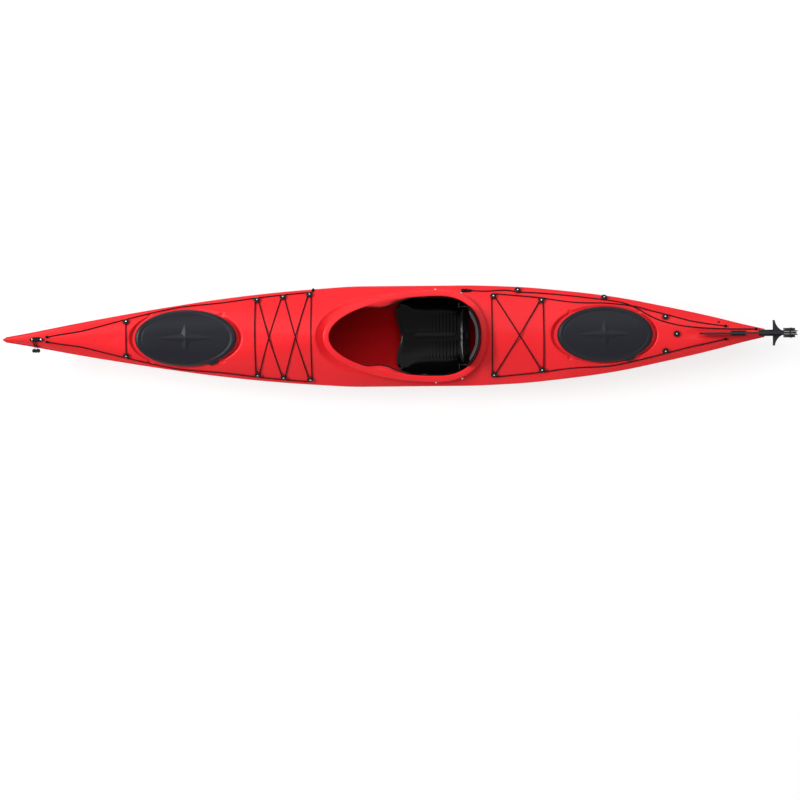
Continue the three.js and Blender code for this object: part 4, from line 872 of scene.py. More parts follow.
# %% [markdown]
# ## Hatch covers
#
# Each cover is a rubber cup that snaps over its rim. Its top is slightly crowned, with a
# rounded bead along the edge. The grid is bent so that one side runs round the oval, and
# the other runs from the middle of the top over the edge and back under the skirt. A raised
# star with four points stiffens it. A cone with eight sides makes the star: the corners of
# its foot are moved to the points and the waists, and it is then laid on the crown.

# %% Shape of the covers
COVER_WALL, COVER_RISE, COVER_CROWN, COVER_FOOT = 0.004, 0.015, 0.008, 0.0012
COVER_LEVEL = [(-1, 0.009), (-0.6, 0.0065), (0, 0.003), (1, 0.004)]
BEAD_AT, BEAD_HALF, BEAD_RELIEF = 0.925, 0.016, 0.003
GROOVE_AT, GROOVE_DEPTH = 0.875, 0.0016
TOP_SHARE, LEVEL_BLEND = 0.953, 0.008
SKIRT_INSET = RIM_INSET - RIM_WALL - RIM_BEAD - 0.0012


def levelled(hatch, station):
    """How much higher than the deck's line the cover lies, which keeps its top nearly level."""
    return along(COVER_LEVEL, min(1, max(-1, (station - hatch[0]) / hatch[1])))


def cover_height(hatch, station, side):
    """Height of the cover's top, without the star."""
    share = math.hypot((station - hatch[0]) / hatch[1], side / hatch[2])
    bead = BEAD_RELIEF * math.exp(-(((share - BEAD_AT) / BEAD_HALF) ** 2))
    bead -= GROOVE_DEPTH * math.exp(-(((share - GROOVE_AT) / BEAD_HALF) ** 2))
    rise = COVER_RISE + COVER_WALL + COVER_CROWN * (1 - share * share) + levelled(hatch, station)
    return crown(station, side) + rise + bead


def cover_top(hatch, angle, share):
    station = hatch[0] + hatch[1] * share * math.cos(angle)
    side = hatch[2] * share * math.sin(angle)
    return at(station, side, cover_height(hatch, station, side))


def cover_edge(hatch, angle, inward, lift):
    station, side = hatch_outline(hatch, angle, inward)
    level = levelled(hatch, station) * min(1, max(0, lift - COVER_FOOT) / LEVEL_BLEND)
    return at(station, side, crown(station, side) + lift + level)


EDGE_STEPS = [
    (0.0068, 0.0182), (0.0044, 0.0166), (0.0022, 0.0140), (0.0007, 0.0106), (0, 0.0072), (0, 0.0034),
    (0.0006, 0.0018), (0.002, COVER_FOOT), (SKIRT_INSET, COVER_FOOT), (SKIRT_INSET, 0.0115),
    (SKIRT_INSET + 0.003, COVER_RISE),
]
TOP_ROWS = 48


def cover_place(hatch):
    rows = TOP_ROWS + len(EDGE_STEPS)

    def place(u, v):
        angle, row = 2 * math.pi * u, round(v * (rows + 1))
        if row <= TOP_ROWS:
            return cover_top(hatch, angle, TOP_SHARE * row / TOP_ROWS)
        if row <= rows:
            return cover_edge(hatch, angle, *EDGE_STEPS[row - TOP_ROWS - 1])
        return at(hatch[0], 0, crown(hatch[0], 0) + COVER_RISE + levelled(hatch, hatch[0]))
    return place, rows + 1


for hatch_name, hatch in HATCHES.items():
    print(hatch_name, "cover's middle:", round(cover_height(hatch, hatch[0], 0), 4), "m high")

# %% Star and tab
STAR_RELIEF, STAR_LENGTH, STAR_WIDTH, STAR_WAIST, STAR_SUNK = 0.011, 0.67, 0.63, 0.028, 0.0008
STAR_EDGE, STAR_EDGE_ANGLE = 0.0009, 25
TAB_PLACE, TAB_HALF, TAB_OUT, TAB_LOW, TAB_THICK = 0.52, 0.032, 0.014, 0.004, 0.005
TAB_UNDER, TAB_TAPER, TAB_THINNING = 0.003, 0.1, 0.25


def raised_star(bm, hatch):
    """A star with eight facets, closed underneath, that follows the crown of the cover."""
    star = bmesh.new()
    bmesh.ops.create_cone(star, cap_ends=True, cap_tris=True, segments=8, radius1=1, radius2=0, depth=1)
    bmesh.ops.remove_doubles(star, verts=star.verts, dist=1e-4)
    for vert in star.verts:
        turn = round(math.degrees(math.atan2(vert.co.y, vert.co.x)) / 45)
        reach = (STAR_LENGTH * hatch[1], STAR_WIDTH * hatch[2])
        if turn % 2:
            reach = (STAR_WAIST * math.sqrt(2), STAR_WAIST * math.sqrt(2))
        vert.co = Vector((vert.co.x * reach[0], vert.co.y * reach[1], 1 if vert.co.z > 0 else 0))
    bmesh.ops.subdivide_edges(star, edges=star.edges[:], cuts=19, use_grid_fill=True)
    for vert in star.verts:
        x, y, z = vert.co
        vert.co = at(hatch[0] + x, y, cover_height(hatch, hatch[0] + x, y) + STAR_RELIEF * z - STAR_SUNK)
    round_off(star, sharper_than(star, STAR_EDGE_ANGLE), STAR_EDGE)
    joined_to(bm, star)


def pull_tab(bm, hatch, share):
    """A flat tab on the cover's port edge: a cube bent along the oval, thinner at both ends."""
    middle, half = -math.acos(share), TAB_HALF / hatch[1]
    tab = bmesh.new()
    bmesh.ops.create_cube(tab, size=1)
    bmesh.ops.subdivide_edges(tab, edges=tab.edges[:], cuts=3, use_grid_fill=True)
    for vert in tab.verts:
        x, y, z = vert.co * 2
        angle = middle + half * x * (1 - TAB_TAPER * (1 + y) * x * x)
        inward = TAB_UNDER - (TAB_OUT + TAB_UNDER) * (1 + y) / 2
        lift = TAB_LOW + TAB_THICK * (0.5 + 0.5 * z * (1 - TAB_THINNING * x * x))
        vert.co = cover_edge(hatch, angle, inward, lift)
    joined_to(bm, tab)


print("a star reaches over", STAR_LENGTH, "of its cover's length")


# %% Covers
def hatch_cover(name, hatch):
    place, rows = cover_place(hatch)
    bm = bent_grid(144, rows, place)
    raised_star(bm, hatch)
    pull_tab(bm, hatch, TAB_PLACE)
    face_out(bm)
    sharpen(bm, 18)
    return finish_piece(bm, f"{name}_cover", hatch_rubber, f"{name}_cover")


for hatch_name, hatch in HATCHES.items():
    cover = hatch_cover(hatch_name, hatch)
    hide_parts(f"{hatch_name}_hatch_cover")
    print(cover.name, len(cover.data.polygons), "faces")

# %% [markdown]
# ## Seat
#
# The seat is a glossy pan with two hollows, a rolled front edge that dips in the middle, and
# a high roll behind, whose foot leans back at the angle that catches the lamp. Shallow ribs
# cross both hollows, and a ridge runs between them. The pan is one grid; two runners carry
# it on the hull.

# %% Shape of the pan
SEAT_FRONT, SEAT_REAR, SEAT_WALL, SEAT_FLOOR = 2.312, 2.748, 0.004, 0.042
SEAT_DIP, SEAT_LOBE, WING_DROP, WING_GAP = 0.027, 0.132, 0.024, 0.0035
SEAT_CORNER, CORNER_FROM, REAR_CORNER = 0.03, 0.75, 0.6
RIBS, RIB_FROM, RIB_TO, RIB_RISE = 11, 2.452, 2.682, 0.0020
RIB_START, RIB_START_FADE, RIB_REACH, RIB_REACH_FADE = 0.016, 0.012, 0.150, 0.014
RIB_CREST, RIB_CREST_FADE = 0.45, 0.4
RIDGE_RISE, RIDGE_HALF = 0.007, 0.010
RIDGE_FROM, RIDGE_FROM_FADE, RIDGE_TO, RIDGE_TO_FADE = 0.14, 0.18, 0.85, 0.15
SEAT_EDGE = 0.0012
FRONT_LIP, FRONT_LIP_LENGTH, REAR_LIP, REAR_LIP_LENGTH = 0.012, 0.03, 0.006, 0.02
FRONT_ROLL, FRONT_ROLL_LENGTH = 0.034, 0.3
SEAT_SECTION = [
    (0, 0), (0.1, 0.004), (0.2, 0), (0.46, 0.02), (0.66, 0.1), (0.84, 0.24), (0.94, 0.46),
    (0.99, 0.76), (1, 1),
]
REAR_ROLL = [
    (0, 0), (0.004, 0.0007), (0.010, 0.0031), (0.016, 0.0058), (0.022, 0.0092), (0.032, 0.020),
    (0.044, 0.041), (0.0545, 0.066),
]
WING_RISE = [(0, 0.22), (0.12, 0.35), (0.3, 0.85), (0.5, 1), (0.82, 1), (0.94, 0.3), (1, 0.2)]


def cockpit_breadth(station):
    aft = station > COCKPIT_WIDEST
    reach = (COCKPIT_REAR if aft else COCKPIT_FRONT) - COCKPIT_WIDEST
    power = COCKPIT_SQUARENESS if aft else 2
    return COCKPIT_HALF * (1 - ((station - COCKPIT_WIDEST) / reach) ** power) ** (1 / power)


def ribs(station, side):
    """Height of the ribs that cross both hollows."""
    if not RIB_FROM < station < RIB_TO:
        return 0
    wave = 0.5 - 0.5 * math.cos(2 * math.pi * RIBS * (station - RIB_FROM) / (RIB_TO - RIB_FROM))
    away = abs(side)
    window = soft_step((away - RIB_START) / RIB_START_FADE) * soft_step((RIB_REACH - away) / RIB_REACH_FADE)
    return RIB_RISE * window * soft_step((wave - RIB_CREST) / RIB_CREST_FADE)


def seat_place(u, v):
    share = math.sin(math.pi * (u - 0.5))
    dip = SEAT_DIP * (1 - soft_step(abs(share) * cockpit_breadth(SEAT_FRONT) / SEAT_LOBE))
    corner = SEAT_CORNER * soft_step((abs(share) - CORNER_FROM) / (1 - CORNER_FROM))
    front, rear = SEAT_FRONT + dip + corner, SEAT_REAR - REAR_CORNER * corner
    station = front + (rear - front) * v
    t = (station - SEAT_FRONT) / (SEAT_REAR - SEAT_FRONT)
    side = (cockpit_breadth(station) - WING_GAP) * share
    lip = FRONT_LIP * math.exp(-((v / FRONT_LIP_LENGTH) ** 2))
    lip += REAR_LIP * math.exp(-(((1 - v) / REAR_LIP_LENGTH) ** 2))
    behind = max(0, station - (SEAT_REAR - REAR_ROLL[-1][0]))
    roll = FRONT_ROLL * max(0, 1 - t / FRONT_ROLL_LENGTH) ** 2 + along(REAR_ROLL, behind) - lip
    ridge = RIDGE_RISE * math.exp(-((side / RIDGE_HALF) ** 2))
    ridge *= soft_step((v - RIDGE_FROM) / RIDGE_FROM_FADE) * soft_step((RIDGE_TO - v) / RIDGE_TO_FADE)
    rise = (rim_height(station) - WING_DROP - SEAT_FLOOR - roll) * along(WING_RISE, min(1, max(0, t)))
    height = SEAT_FLOOR + SEAT_WALL + roll + rise * along(SEAT_SECTION, abs(share))
    return at(station, side, height + ridge + ribs(station, side))


print("seat", round(SEAT_REAR - SEAT_FRONT, 3), "m long, with", RIBS, "ribs")

# %% Pan and runners
RUNNER_SIDE, RUNNER_WIDTH, RUNNER_FROM, RUNNER_LENGTH, RUNNER_EDGE = 0.062, 0.016, 2.443, 0.235, 0.002
AMIDSHIPS, RUNNER_GAP, RUNNER_SINK = 2.5, 0.0006, 0.001


def keel_inside(side):
    """Height of the hull's inner face near the keel, amidships."""
    section = lines(AMIDSHIPS)
    steps = [hull_outline(section, CHINE_SHARE * i / 100) for i in range(101)]
    return min(steps, key=lambda point: abs(point[0] - abs(side)))[1] + WALL + RUNNER_GAP


seat_grid = bent_grid(112, 150, seat_place)
seat_pan = finish_piece(seat_grid, "seat_pan_moulded", seat_plastic, "hull")
with_modifiers(seat_pan, ("SOLIDIFY", {"thickness": SEAT_WALL, "offset": -1}),
               ("BEVEL", {"width": SEAT_EDGE, "segments": 2, "angle_limit": math.radians(60)}))
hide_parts("seat_pan")

HANDS = {"port": -1, "starboard": 1}
for side_name, hand in HANDS.items():
    runner = bmesh.new()
    bmesh.ops.create_cube(runner, size=1)
    for vert in runner.verts:
        x, y, z = vert.co + Vector((0.5, 0.5, 0.5))
        side = hand * RUNNER_SIDE + (y - 0.5) * RUNNER_WIDTH
        height = keel_inside(side) if z < 0.5 else SEAT_FLOOR + RUNNER_SINK
        vert.co = at(RUNNER_FROM + RUNNER_LENGTH * x, side, height)
    round_off(runner, runner.edges[:], RUNNER_EDGE)
    finish_piece(runner, f"seat_runner_{side_name}", seat_plastic, "hull")
print("pan", len(seat_pan.data.polygons), "faces, on", len(HANDS), "runners")

# %% [markdown]
# ## Thigh grips
#
# On each side the deck moulding reaches in over the paddler's thigh as a wavy flange that
# slopes down. A black pad lies under it and follows the same wave, so that only its edge
# shows. Both are narrow grids along the coaming's inner edge, with one table for the wave.

# %% The wave, the flanges and the pads
GRIP_FROM, GRIP_TO, GRIP_REACH, GRIP_SHOWN = 2.10, 2.40, 0.036, 0.0075
FLANGE_FALL, FLANGE_WALL, PAD_TOP, PAD_FOOT = 0.017, 0.003, 0.0222, 0.058
GRIP_WAVE = [
    (0, 0), (0.11, 0.25), (0.25, 0.74), (0.38, 1), (0.5, 0.97), (0.6, 0.76), (0.72, 0.5),
    (0.84, 0.34), (1, 0),
]
PAD_SECTION = [
    (0, PAD_TOP), (0.7, PAD_TOP), (0.93, 0.0232), (1, 0.027), (0.97, 0.034), (0.86, 0.042),
    (0.3, 0.056), (0, PAD_FOOT),
]
GRIP_GAP, FLANGE_DROP, FLANGE_POWER, FLANGE_BLEND, PAD_LEAST = 0.0008, 0.002, 1.4, 0.012, 0.0035


def grip_at(u, hand, share, drop):
    """Place under the rim: a share of the wave's reach inwards, and a drop."""
    station = GRIP_FROM + (GRIP_TO - GRIP_FROM) * u
    angle = math.acos((station - COCKPIT_WIDEST) / (COCKPIT_WIDEST - COCKPIT_FRONT))
    station, side = cockpit_outline(angle, -GRIP_GAP - share)
    rim = rim_height(cockpit_outline(angle, LIP / 2)[0])
    return at(station, hand * side, rim - drop)


def flange_place(hand):
    def place(u, v):
        reach = max(0, GRIP_REACH * along(GRIP_WAVE, u) - GRIP_SHOWN)
        fall = FLANGE_FALL * v ** FLANGE_POWER * min(1, reach / FLANGE_BLEND)
        return grip_at(u, hand, reach * v, FLANGE_DROP + fall)
    return place


def thigh_pad_place(hand):
    def place(u, v):
        share, drop = PAD_SECTION[round(v * len(PAD_SECTION)) % len(PAD_SECTION)]
        reach = PAD_LEAST + (GRIP_REACH - PAD_LEAST) * along(GRIP_WAVE, u)
        return grip_at(u, hand, reach * share, drop)
    return place


for name, hand in HANDS.items():
    flange_grid = bent_grid(80, 8, flange_place(hand))
    flange = finish_piece(flange_grid, f"thigh_flange_{name}", red_deck_painted_sheen, "hull")
    with_modifiers(flange, ("SOLIDIFY", {"thickness": FLANGE_WALL, "offset": -1}))
    grip_grid = bent_grid(80, len(PAD_SECTION), thigh_pad_place(hand))
    close_ends(grip_grid)
    face_out(grip_grid)
    sharpen(grip_grid, 40)
    thigh_pad = finish_piece(grip_grid, f"thigh_brace_{name}_moulded", satin_plastic, "hull")
    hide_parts(f"thigh_brace_{name}")
print("grips over", round(GRIP_TO - GRIP_FROM, 3), "m of the rim on each side")

# %% [markdown]
# ## Pieces with rounded edges
#
# Moulded plastic has no sharp edges. The pieces below have the right shape in the frame,
# but as plain triangles. Each is copied, its triangles are joined into whole faces, and
# the edges that are sharper than a given angle are rounded. The copy then takes the place
# of the frame's own piece.

# %% A copy with rounded edges
FLAT_WITHIN, CORNER_OVER, ACROSS, CORNER_STEPS = 2, 6, 0.98, 5


def rounded(name, finish, radius, angle=30, segments=2, corner=0):
    """A copy of a frame piece, merged, with its sharp edges rounded and its shading evened.

    With corner given, the edges that run across the boat are first rounded by that radius.
    """
    node = nodes[name]
    bm = merged_copy(node)
    bmesh.ops.dissolve_limit(bm, angle_limit=math.radians(FLAT_WITHIN), verts=bm.verts, edges=bm.edges)
    if corner:
        across = [edge for edge in sharper_than(bm, CORNER_OVER)
                  if abs((edge.verts[1].co - edge.verts[0].co).normalized().y) > ACROSS]
        round_off(bm, across, corner, CORNER_STEPS)
    round_off(bm, sharper_than(bm, angle), radius, segments)
    face_out(bm)
    sharpen(bm, 50)
    piece = finish_piece(bm, f"{name}_moulded", finish, body_of(node)[0])
    with_modifiers(piece, ("WEIGHTED_NORMAL", {"keep_sharp": True}))
    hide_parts(name)


slot_of = {entry["node"]: entry["material_slot"] for entry in frame["record"]["subparts"]}
for side_name in HANDS:
    rounded(f"foot_brace_rail_{side_name}", satin_plastic, 0.0015)
    rounded(f"foot_pedal_{side_name}", satin_plastic, 0.0018)
    rounded(f"backrest_pin_{side_name}", black_steel, 0.0006)
rounded("rudder_line_cleat", satin_plastic, 0.0016)
rounded("bow_pad_eye", satin_plastic, 0.001, 40)
rounded("bow_toggle", satin_plastic, 0.0012, 20)
rounded("rudder_bracket", rudder_plastic, 0.0014, 40)
rounded("rudder_head", rudder_plastic, 0.0011, 40)
rounded("rudder_blade", rudder_plastic, 0.0014, 40, segments=3, corner=0.02)
rounded("rudder_hub_pin", steel, 0.0008, 40)
rounded("rudder_chock", hatch_rubber, 0.003)
for bulkhead in ("fore_bulkhead", "aft_bulkhead"):
    rounded(bulkhead, grey_foam, 0.003, 45)

# %% [markdown]
# ## Backrest
#
# The backrest is a thin plastic band, bent to the arc of the coaming, with a foam pad in
# front. Its corners are rounded off, and an arm on each side carries it on a pin. The
# foam bulges between its seams: it is thickest in the middle of each of its three panels.

# %% Band and arms
BACK_OUTER, BACK_WALL, BACK_LOW, BACK_HIGH, BACK_FALL, BACK_CORNER = 0.24957, 0.004, 0.182, 0.416, 0.05, 6
BACK_CENTRE, BACK_SPAN, BAND_DROP = 2.55543, 0.8006, 0.0024
ARM_SIDE, ARM_THICK, ARM_WIDTH, ARM_CORNER, ARM_EDGE = 0.1738, 0.006, 0.022, 0.006, 0.0012
BACK_END, PIVOT = 2.7292, (2.688, 0.150)
BAND_SECTION = [(0, 0), (0, 1), (0.0006, 1.006), (0.0020, 1.009), (0.0034, 1.006), (0.004, 1), (0.004, 0)]


def band_place(u, v):
    inward, rise = BAND_SECTION[round(u * len(BAND_SECTION)) % len(BAND_SECTION)]
    angle = BACK_SPAN * (2 * v - 1)
    high = BACK_HIGH - BAND_DROP - BACK_FALL * (angle / BACK_SPAN) ** BACK_CORNER
    radius = BACK_OUTER - inward
    height = BACK_LOW + (high - BACK_LOW) * rise
    return at(BACK_CENTRE + radius * math.cos(angle), radius * math.sin(angle), height)


def backrest_arm(hand):
    """A flat arm from the pin to the band's lower end: an outline that is extruded and rounded."""
    half, foot = ARM_WIDTH / 2, PIVOT[1] - ARM_WIDTH / 2
    outline = [
        (PIVOT[0] - half, foot), (PIVOT[0] + half, foot), (BACK_END + ARM_WIDTH, BACK_LOW),
        (BACK_END + ARM_WIDTH, BACK_LOW + ARM_WIDTH), (BACK_END - BACK_WALL, BACK_LOW + ARM_WIDTH),
        (PIVOT[0] - half, PIVOT[1] + ARM_WIDTH),
    ]
    arm = bmesh.new()
    side = hand * ARM_SIDE - ARM_THICK / 2
    arm.faces.new([arm.verts.new(at(station, side, height)) for station, height in outline])
    round_off(arm, arm.verts[:], ARM_CORNER, 4, "VERTICES", clamp=False)
    shifted(arm, bmesh.ops.extrude_face_region(arm, geom=arm.faces[:]), (0, ARM_THICK, 0))
    face_out(arm)
    round_off(arm, sharper_than(arm, 60), ARM_EDGE)
    return arm


band = bent_grid(len(BAND_SECTION), 96, band_place)
close_ends(band)
for hand in HANDS.values():
    joined_to(band, backrest_arm(hand))
face_out(band)
sharpen(band, 50)
backrest_band = finish_piece(band, "backrest_band", satin_plastic, "backrest")
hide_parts("backrest_shell")
print("backrest", len(backrest_band.data.polygons), "faces")

# %% Quilted pad
PAD_OUTER, PAD_THICK, PAD_LOW, PAD_HIGH = 0.2453, 0.0158, 0.194, 0.404
PAD_SPAN, PAD_GAP, PANELS = 0.665, 0.06, 3
QUILT, QUILT_POWER, QUILT_FADE, QUILT_FADE_POWER = 0.28, 0.45, 0.8, 6
END_POWER, UPRIGHT_POWER, DEPTH_POWER = 14, 0.32, 0.7


def pad_place(u, v):
    """Once round the pad's section with u, and along the band with v."""
    angle = PAD_SPAN * (2 * v - 1)
    turn_angle = 2 * math.pi * u
    panel = abs(math.sin(math.pi * PANELS * v)) ** QUILT_POWER
    ends = math.sqrt(max(0, 1 - abs(2 * v - 1) ** END_POWER))
    high = PAD_HIGH - BACK_FALL * (angle / BACK_SPAN) ** BACK_CORNER
    upright = signed_power(math.cos(turn_angle), UPRIGHT_POWER)
    depth = signed_power(math.sin(turn_angle), DEPTH_POWER)
    middle, half = (PAD_LOW + high) / 2, (high - PAD_LOW) / 2 * ends
    bulge = panel * (1 - QUILT_FADE * upright ** QUILT_FADE_POWER)
    thick = PAD_THICK * (1 - QUILT + QUILT * bulge) * ends
    radius = PAD_OUTER - PAD_THICK * PAD_GAP - thick * (0.5 + 0.5 * depth)
    return at(BACK_CENTRE + radius * math.cos(angle), radius * math.sin(angle), middle + half * upright)


pad_grid = bent_grid(64, 120, pad_place)
backrest_cushion = finish_piece(pad_grid, "backrest_cushion", grey_foam, "backrest")
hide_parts("backrest_pad")
print("pad", len(backrest_cushion.data.polygons), "faces")

# %% [markdown]
# ## Cords
#
# The deck lines lie on the deck and go round the necks of the buttons, as they do in the
# frame. There they are six-sided tubes. Each copy is subdivided into a round one, and made
# a little thicker first, because subdividing draws it in.

# %% Round, braided cords
CORD_SIDES, CORD_REACH, CORD_GROWTH, QUADS_WITHIN = 6, 0.012, 0.0009, 1.2
cord_ends = []


def middle_of(corners):
    return sum((vert.co for vert in corners), Vector()) / max(1, len(corners))


def keep_ends(bm):
    """Keeps the tube's flat ends flat under subdivision, and notes where they are."""
    crease = bm.edges.layers.float.new("crease_edge")
    rims = sharper_than(bm, 75)
    for start in rims:
        place = start.verts[0].co
        ring = {vert for edge in rims for vert in edge.verts if (vert.co - place).length < CORD_REACH}
        if len(ring) == CORD_SIDES and not any((place - end[0]).length < CORD_REACH for end in cord_ends):
            inner = {edge.other_vert(vert) for vert in ring for edge in vert.link_edges} - ring
            cord_ends.append((middle_of(ring), (middle_of(ring) - middle_of(inner)).normalized()))
            for edge in rims:
                if edge.verts[0] in ring:
                    edge[crease] = 1


def braided(name):
    """A round copy of a cord of the frame."""
    node = nodes[name]
    body = body_of(node)[0]
    bm = merged_copy(node)
    bmesh.ops.join_triangles(bm, faces=bm.faces, angle_face_threshold=QUADS_WITHIN,
                             angle_shape_threshold=QUADS_WITHIN)
    face_out(bm)
    bm.normal_update()
    if body == "hull":
        keep_ends(bm)
    for vert in bm.verts:
        vert.co += vert.normal * CORD_GROWTH
    piece = finish_piece(bm, f"{name}_braided", cord_black, body)
    with_modifiers(piece, ("SUBSURF", {"levels": 2, "render_levels": 2}))
    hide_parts(name)


cord_names = [name for name, kind in slot_of.items() if kind == "cord"]
for name in cord_names:
    braided(name)
print(len(cord_names), "cords,", len(cord_ends), "open ends")

# %% [markdown]
# ## Buttons and screws
#
# Every deck button is a satin dome with a steel screw in its middle. Its outline is drawn
# once, as a profile, and spun round its axis. The screw's head is a grid drawn into a disc,
# whose middle rows and columns are pushed down to make the cross for the driver. Two more
# screws hold the pad eye at the bow.

# %% Domes and screw heads
DOME = [
    (0, 0), (6, 0), (6, 8.4), (17.6, 8.5), (18.7, 9.1), (19, 10.2), (18.6, 11.8), (17, 13.8),
    (14, 15.4), (10, 16.4), (6.6, 16.8), (5.2, 16.5), (4.9, 15.6), (0, 15.6),
]
SCREW_RADIUS, SCREW_RISE, SCREW_DOMING = 0.0045, 0.0020, 0.7
CROSS_DEPTH, CROSS_HALF, CROSS_REACH = 0.0013, 0.17, 0.68


def full_spin(bm, geom, steps):
    """Turns a profile once round the Z axis."""
    bmesh.ops.spin(bm, geom=geom, cent=(0, 0, 0), axis=(0, 0, 1), angle=2 * math.pi,
                   steps=steps, use_merge=True)


def spun(profile, steps=40):
    """A closed profile of (radius, height) in millimetres, spun round the Z axis."""
    bm = bmesh.new()
    verts = [bm.verts.new((r / 1000, 0, z / 1000)) for r, z in profile]
    edges = [bm.edges.new(pair) for pair in zip(verts, verts[1:])]
    full_spin(bm, verts + edges, steps)
    bmesh.ops.remove_doubles(bm, verts=bm.verts, dist=MERGE / 10)
    face_out(bm)
    return bm


def screw_head(radius=SCREW_RADIUS):
    """A domed head with a cross recess."""
    bm = bmesh.new()
    bmesh.ops.create_grid(bm, x_segments=10, y_segments=10, size=1)
    for vert in bm.verts:
        x, y = vert.co.x, vert.co.y
        disc = Vector((x * math.sqrt(1 - y * y / 2), y * math.sqrt(1 - x * x / 2), 0))
        vert.co = disc * radius + Vector((0, 0, SCREW_RISE * (1 - SCREW_DOMING * disc.length_squared)))
    cross = []
    for face in bm.faces:
        near, far = sorted(abs(value) / radius for value in face.calc_center_median().xy)
        if near < CROSS_HALF and far < CROSS_REACH:
            cross.append(face)
    shifted(bm, bmesh.ops.extrude_face_region(bm, geom=cross), (0, 0, -CROSS_DEPTH))
    bmesh.ops.delete(bm, geom=cross, context="FACES")
    rim = [edge for edge in bm.edges if edge.is_boundary and edge.verts[0].co.length > 0.9 * radius]
    shifted(bm, bmesh.ops.extrude_edge_only(bm, edges=rim), (0, 0, -SCREW_RISE))
    face_out(bm)
    return bm


def deck_normal(station, side, probe=0.003):
    slope_along = (crown(station + probe, side) - crown(station - probe, side)) / (2 * probe)
    slope_across = (crown(station, side + probe) - crown(station, side - probe)) / (2 * probe)
    return Vector((-slope_along, -slope_across, 1)).normalized()


def standing(bm, foot, normal):
    """Moves a piece built at the origin to stand on a point."""
    turn_up = normal.to_track_quat("Z", "Y").to_matrix().to_4x4()
    bmesh.ops.transform(bm, matrix=Matrix.Translation(foot) @ turn_up, verts=bm.verts)
    return bm


def driven(name, foot, normal, radius=SCREW_RADIUS):
    """A steel screw whose head lies on a point."""
    finish_piece(standing(screw_head(radius), foot, normal), name, steel, "hull")


print("domes", 2 * max(radius for radius, _ in DOME), "mm wide, screws", 2000 * SCREW_RADIUS, "mm")

# %% Buttons on the deck
DOME_TOP = DOME[-1][1] / 1000
button_places = []
for name in [name for name in nodes if name.startswith(("deck_button", "lift_line_guide"))]:
    corners = nodes[name].data.vertices
    middle = middle_of(corners)
    normal = deck_normal(middle.x + ORIGIN_STATION, middle.y)
    foot = middle + normal * min((vert.co - middle).dot(normal) for vert in corners)
    dome = standing(spun(DOME), foot, normal)
    sharpen(dome, 60)
    button = finish_piece(dome, f"{name}_dome", satin_plastic, "hull")
    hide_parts(name)
    driven(f"{name}_screw", foot + normal * DOME_TOP, normal)
    button_places.append(middle)
print(len(button_places), "buttons")

# %% Screws of the pad eye
EYE_SCREWS, EYE_SUNK = 0.31, 0.0004
eye_bm = merged_copy(nodes["bow_pad_eye"])
eye_tree = BVHTree.FromBMesh(eye_bm)
eye_along = [vert.co.x for vert in eye_bm.verts]
eye_bm.free()
for number, share in enumerate((-EYE_SCREWS, EYE_SCREWS)):
    x = (min(eye_along) + max(eye_along)) / 2 + share * (max(eye_along) - min(eye_along))
    foot, normal = eye_tree.ray_cast(Vector((x, 0, 1)), Vector((0, 0, -1)))[:2]
    driven(f"pad_eye_screw_{number}", foot - normal * EYE_SUNK, normal)
    print("pad eye screw at", [round(value, 3) for value in foot])

# %% [markdown]
# ## Knots
#
# Where a cord doesn't end at a button, it ends in a stopper knot. The knot is three turns
# of the cord, each a circle spun into a ring, tilted a little against each other.

# %% Stopper knots
KNOT_CORD, KNOT_RING, KNOT_LIFT, KNOT_BACK, NEAR_BUTTON = 0.0034, 0.0042, 0.0035, 0.004, 0.03
KNOT_TURNS = [(-0.0045, 14), (0, -10), (0.0045, 16)]


def turned(bm, degrees):
    """Turns a bmesh about the X axis."""
    turn = Matrix.Rotation(math.radians(degrees), 3, "X")
    bmesh.ops.rotate(bm, verts=bm.verts, cent=(0, 0, 0), matrix=turn)


def knot():
    """Three rings of cord along the Z axis."""
    bm = bmesh.new()
    for height, tilt in KNOT_TURNS:
        ring = bmesh.new()
        bmesh.ops.create_circle(ring, radius=KNOT_CORD, segments=10)
        turned(ring, 90)
        bmesh.ops.translate(ring, verts=ring.verts, vec=(KNOT_RING, 0, 0))
        full_spin(ring, ring.verts[:] + ring.edges[:], 20)
        turned(ring, tilt)
        bmesh.ops.translate(ring, verts=ring.verts, vec=(0, 0, height))
        face_out(ring)
        joined_to(bm, ring)
    return bm


def at_button(place):
    return any((place - button).length <= NEAR_BUTTON for button in button_places)


for number, (middle, direction) in enumerate(end for end in cord_ends if not at_button(end[0])):
    place = middle + Vector((0, 0, KNOT_LIFT)) - direction * KNOT_BACK
    finish_piece(standing(knot(), place, direction), f"stopper_knot_{number}", cord_black, "hull")
    print("knot", [round(value, 3) for value in middle])

# %% [markdown]
# ## Bolts
#
# Two bolts on each side of the deck hold the seat's wings, and two on each side of the hull
# hold the foot brace's rail.

# %% Bolts through the deck
BOLT_RADIUS = 0.006
SEAT_BOLTS = [(2.546, 0.279), (2.702, 0.256)]
for name, hand in HANDS.items():
    for number, (station, side) in enumerate(SEAT_BOLTS):
        foot = at(station, hand * side, deck_height(station, side))
        driven(f"deck_bolt_{name}_{number}", foot, deck_normal(station, hand * side), BOLT_RADIUS)
print(len(SEAT_BOLTS), "bolts on each side of the deck")

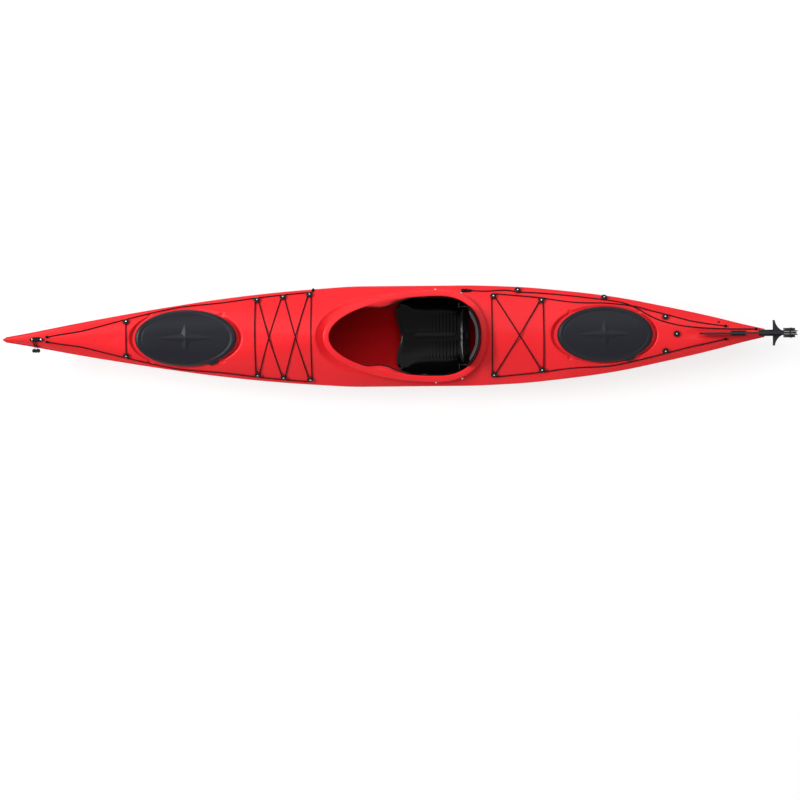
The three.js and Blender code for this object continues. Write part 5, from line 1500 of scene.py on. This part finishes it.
# %% Bolts through the hull
RAIL_BOLTS, RAIL_HEIGHT = [1.467, 1.878], 0.135
hull_tree = BVHTree.FromPolygons([v.co for v in hull_moulding.data.vertices],
                                 [tuple(p.vertices) for p in hull_moulding.data.polygons])
for name, hand in HANDS.items():
    for number, station in enumerate(RAIL_BOLTS):
        foot, normal = hull_tree.ray_cast(at(station, hand, RAIL_HEIGHT), Vector((0, -hand, 0)))[:2]
        driven(f"rail_bolt_{name}_{number}", foot, normal, BOLT_RADIUS)
print(len(RAIL_BOLTS), "bolts on each side of the hull")

# %% [markdown]
# ## Cable outlet
#
# Near the stern a rubber sleeve leads the rudder's cable out of the deck on the starboard
# side.

# %% Sleeve of the cable
SLEEVE = [(0, 0), (7, 0), (7.2, 1.2), (6, 2.2), (4.2, 2.6), (3.2, 2.2), (2.8, 0.4), (0, 0.4)]
SLEEVE_PLACE = (4.22, 0.066)
sleeve = standing(spun(SLEEVE, 28), at(*SLEEVE_PLACE, deck_height(*SLEEVE_PLACE)), deck_normal(*SLEEVE_PLACE))
finish_piece(sleeve, "cable_outlet", hatch_rubber, "hull")
print("outlet", SLEEVE_PLACE[0], "m aft of the bow")

# %% [markdown]
# ## Floor
#
# A plain pale sheet, far larger than the boat. To the camera it glows, which makes it white
# without any more light falling on the boat. Reflections see less of that glow, so that the
# boat's own shadow shows in the underside of the hull.

# %% Floor
FLOOR_SIZE, FLOOR_GAP = 30.0, 0.0005
FLOOR_GLOW, GLOW_SEEN, GLOW_MIRRORED = 1.12, 0.7, 0.3
floor_bm = bmesh.new()
bmesh.ops.create_grid(floor_bm, x_segments=2, y_segments=2, size=FLOOR_SIZE / 2)
bmesh.ops.translate(floor_bm, verts=floor_bm.verts, vec=(0, 0, -FLOOR_GAP))
floor = as_object(floor_bm, "floor")

paper = Finish("floor_paper", roughness=0.9)
paper.set(base_color=paper.between(paper.noise(0.8), (0.86, 0.86, 0.86), (0.82, 0.82, 0.82)))
seen, mirrored = rays_of(paper)
glow = paper.node("ShaderNodeEmission", None, {"Strength": FLOOR_GLOW})
mix = paper.node("ShaderNodeMixShader", None, {
    0: seen * GLOW_SEEN + mirrored * GLOW_MIRRORED, 1: Value(paper, paper.shader.outputs[0]), 2: glow})
paper.feed(paper.tree.nodes["Material Output"].inputs["Surface"], mix)
floor.data.materials.append(paper.material)
print("floor", FLOOR_SIZE, "m square")
